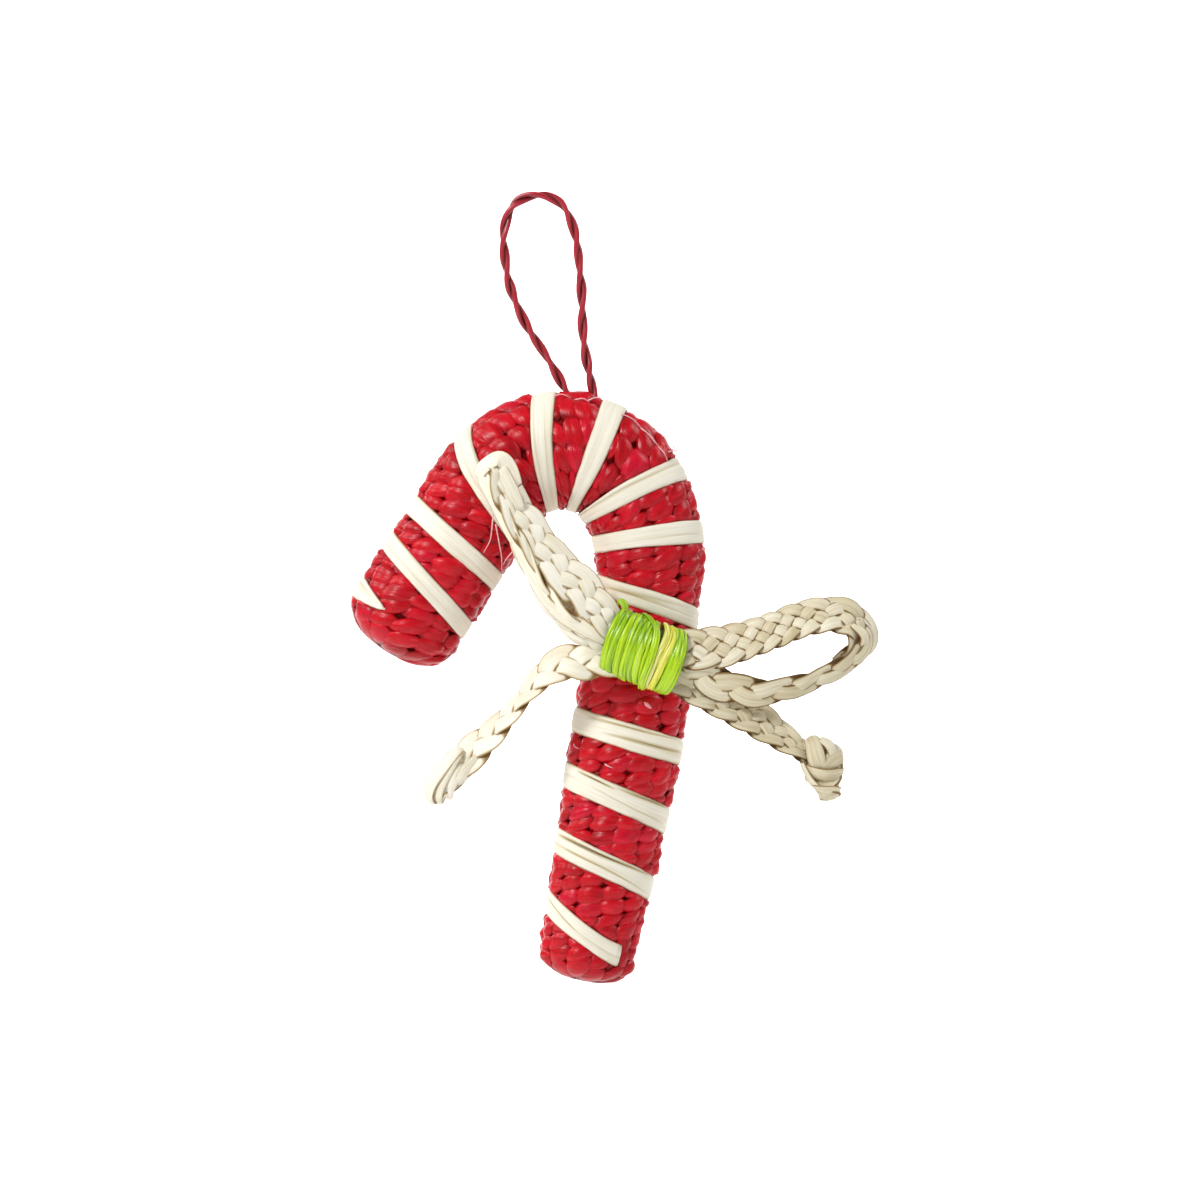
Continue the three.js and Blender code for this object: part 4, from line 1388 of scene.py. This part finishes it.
def make_turns(name, turns, material, cut_end=None):
    """Some turns of the tie as one piece, and the raffia's cut end where it has one."""
    work = new_straw_work()
    for number, (slides, half, lift) in enumerate(turns):

        def place(around, part, slides=slides, half=half, lift=lift, number=number):
            angle = (part - 0.5) * FULL_TURN
            side = 1 - 2 * abs(around) / math.pi
            top = math.copysign((1 - abs(side) ** 6) ** 0.5, around)
            slide = slide_of(slides, angle) + side * half * (0.85 + 0.15 * math.cos(angle))
            ripple = uneven(TURN_RIPPLE, side * 2.2, angle * 1.3, number * 3.0)
            for groove in range(GROOVES):
                wander = uneven(TURN_GROOVE_WANDER, angle * 0.9, number * 3.0, groove * 5.0)
                off = side - 1.1 * groove + 0.55 - wander
                ripple -= TURN_GROOVE_DEEP * math.exp(-((off / TURN_GROOVE_WIDE) ** 2))
            out = lift + ripple + top * TURN_BULGE * (1 - 0.7 * side**4)
            ring = Vector((0, -1, 0)) * (TIE_HALF_DEPTH + out) * math.cos(angle)
            ring += TIE_UP * (TIE_HALF_HEIGHT + out) * math.sin(angle)
            # Painted shade: grooves, the edges where turns meet and the top half of each turn are painted
            # darker.
            shade = TOP_SHADE * smoothstep(math.sin(angle), -0.1, 0.8)
            depth = 0.95 + ripple * 2.4 - 0.75 * side**8 - shade
            point = TIE_CENTRE + ring + TIE_AXIS * slide
            return point * MM, side * half, angle * FIBRE_RADIUS, depth

        lay_straw(work, TURN_SIDES, TURN_RINGS, place, number)
    if cut_end:
        lay_band(work, cut_end, CUT_END_HUB, CUT_END_THICK, CUT_END_NUMBER)
    return finish_piece(work, name, material, "raffia_tie")


make_turns("green_raffia_tie", GREEN_TURNS, lime_raffia, CUT_END)
make_turns("unevenly_dyed_turns", PALE_TURNS, uneven_raffia)

# %% [markdown]
# ## Loose ends
# Handwork leaves loose ends. A few thin pinkish fibres hang below the left loop, small stitches
# run along the crown's seam, a few ends have frayed, and one pale end shows below the tie. They
# could be painted on, but some of them stand off the cane, so they are thin straws of their own.
# Left out, the part would look machine made.

# %% Faded pink fibre
# A fibre this thin lets light through, so it looks paler than the straw that it came from.
pink_fibre = straw_finish(
    "faded_pink_fibre",
    straws=[(0.0, "#E8A8B0"), (0.5, "#F0C4C4"), (1.0, "#E07080")],
    fibres=[(0.3, "#E08A98"), (0.7, "#F4D4D0")],
    crease_shade=[(0.0, "#C06070"), (0.5, "#FFFFFF")],
    fibres_per_mm=4.0,
    streak_mm=6.0,
    bump_mm=0.05,
    Roughness=0.5,
)

# %% Where the loose ends lie
# The hanging fibres have x, y and z. The others lie on the cane, and have millimetres along it,
# degrees round it and millimetres above its skin.
HANGING_FIBRES = [
    [(-10.2, -14.4, -69.5), (-10.6, -13.4, -73.3), (-11, -12.6, -75.4), (-12.4, -11.4, -77.9)],
    [(-9.7, -14.4, -71.7), (-9.0, -13.2, -75.4), (-8.4, -12, -79), (-8.4, -9.6, -81.7)],
    [(-6, -14.6, -77.7), (-7.5, -12.6, -79.5), (-8, -11, -80.6)],
]
SEAM_STITCHES = [
    [(60.3, 68, 0.5), (61.4, 65, 1.25), (62.6, 63, 0.6)],
    [(63.2, 60, 0.6), (64.2, 60, 1.25), (65.1, 60, 0.6)],
    [(64.9, 63, 0.6), (65.9, 69, 1.25), (66.7, 75, 0.6)],
    [(69.6, 60, 0.5), (70.6, 58, 1.25), (71.8, 58, 1.25), (73.1, 58, 0.7)],
    [(72.9, 58, 0.7), (74.2, 55, 1.25), (75.4, 54, 1.25), (76.6, 57, 0.7)],
    [(76.4, 56, 0.7), (77.6, 54, 1.25), (78.9, 56, 0.5)],
]
FRAYED_ENDS = [
    [(75.6, 76, 0.6), (76.1, 82, 1.9), (76.6, 90, 2.4)],
    [(77.8, 68, 0.6), (78.2, 74, 1.7), (78.6, 82, 1.6)],
    [(78.2, 78, 0.6), (77.6, 84, 1.6), (78.4, 90, 1.5)],
    [(7.6, -83, 0.6), (8.8, -78, 1.2), (9.8, -76, 0.6)],
    [(138.6, -64, 0.6), (139.2, -58, 1.1), (139.6, -52, 0.6)],
    [(141.8, -18, 0.6), (142.2, -14, 1.1), (142.4, -9, 0.6)],
]
PALE_END = [(127.0, 11, 0.5), (127.7, 16, 1.15), (128.2, 21, 0.5)]

# %% Thin straws along them
# Half thicknesses at the start. A fibre thins out to a share of that at its end.
FIBRE_THICK = 0.2
PALE_END_THICK = 0.6
FIBRE_THINNING = 0.6
FIBRE_STEP = 0.7
FIBRE_SIDES = 6
FIBRE_DEPTH = 0.9


def make_fibres():
    """All the loose ends as one piece. The pale end comes last and is thicker."""
    work = new_straw_work()
    runs = [[Vector(point) for point in fibre] for fibre in HANGING_FIBRES]
    for fibre in [*SEAM_STITCHES, *FRAYED_ENDS, PALE_END]:
        runs.append([skin(along, math.radians(turn), lift) / MM for along, turn, lift in fibre])
    for number, points in enumerate(runs):
        thickest = PALE_END_THICK if number == len(runs) - 1 else FIBRE_THICK
        line, _ = smooth_run([tuple(point) for point in points], FIBRE_STEP)
        rings = len(line) - 1

        def place(around, part, line=line, rings=rings, thickest=thickest):
            at = round(part * rings)
            ahead, sideways = run_frame(line, at)
            outward = ahead.cross(sideways)
            thick = thickest * (1 - FIBRE_THINNING * part)
            offset = (sideways * math.cos(around) + outward * math.sin(around)) * thick
            point = (Vector(line[at]) + offset) * MM
            return point, around * thick, at * FIBRE_STEP, FIBRE_DEPTH

        lay_straw(work, FIBRE_SIDES, rings, place, number)
    return finish_piece(work, "loose_pink_fibres", pink_fibre, "woven_cane")


make_fibres()
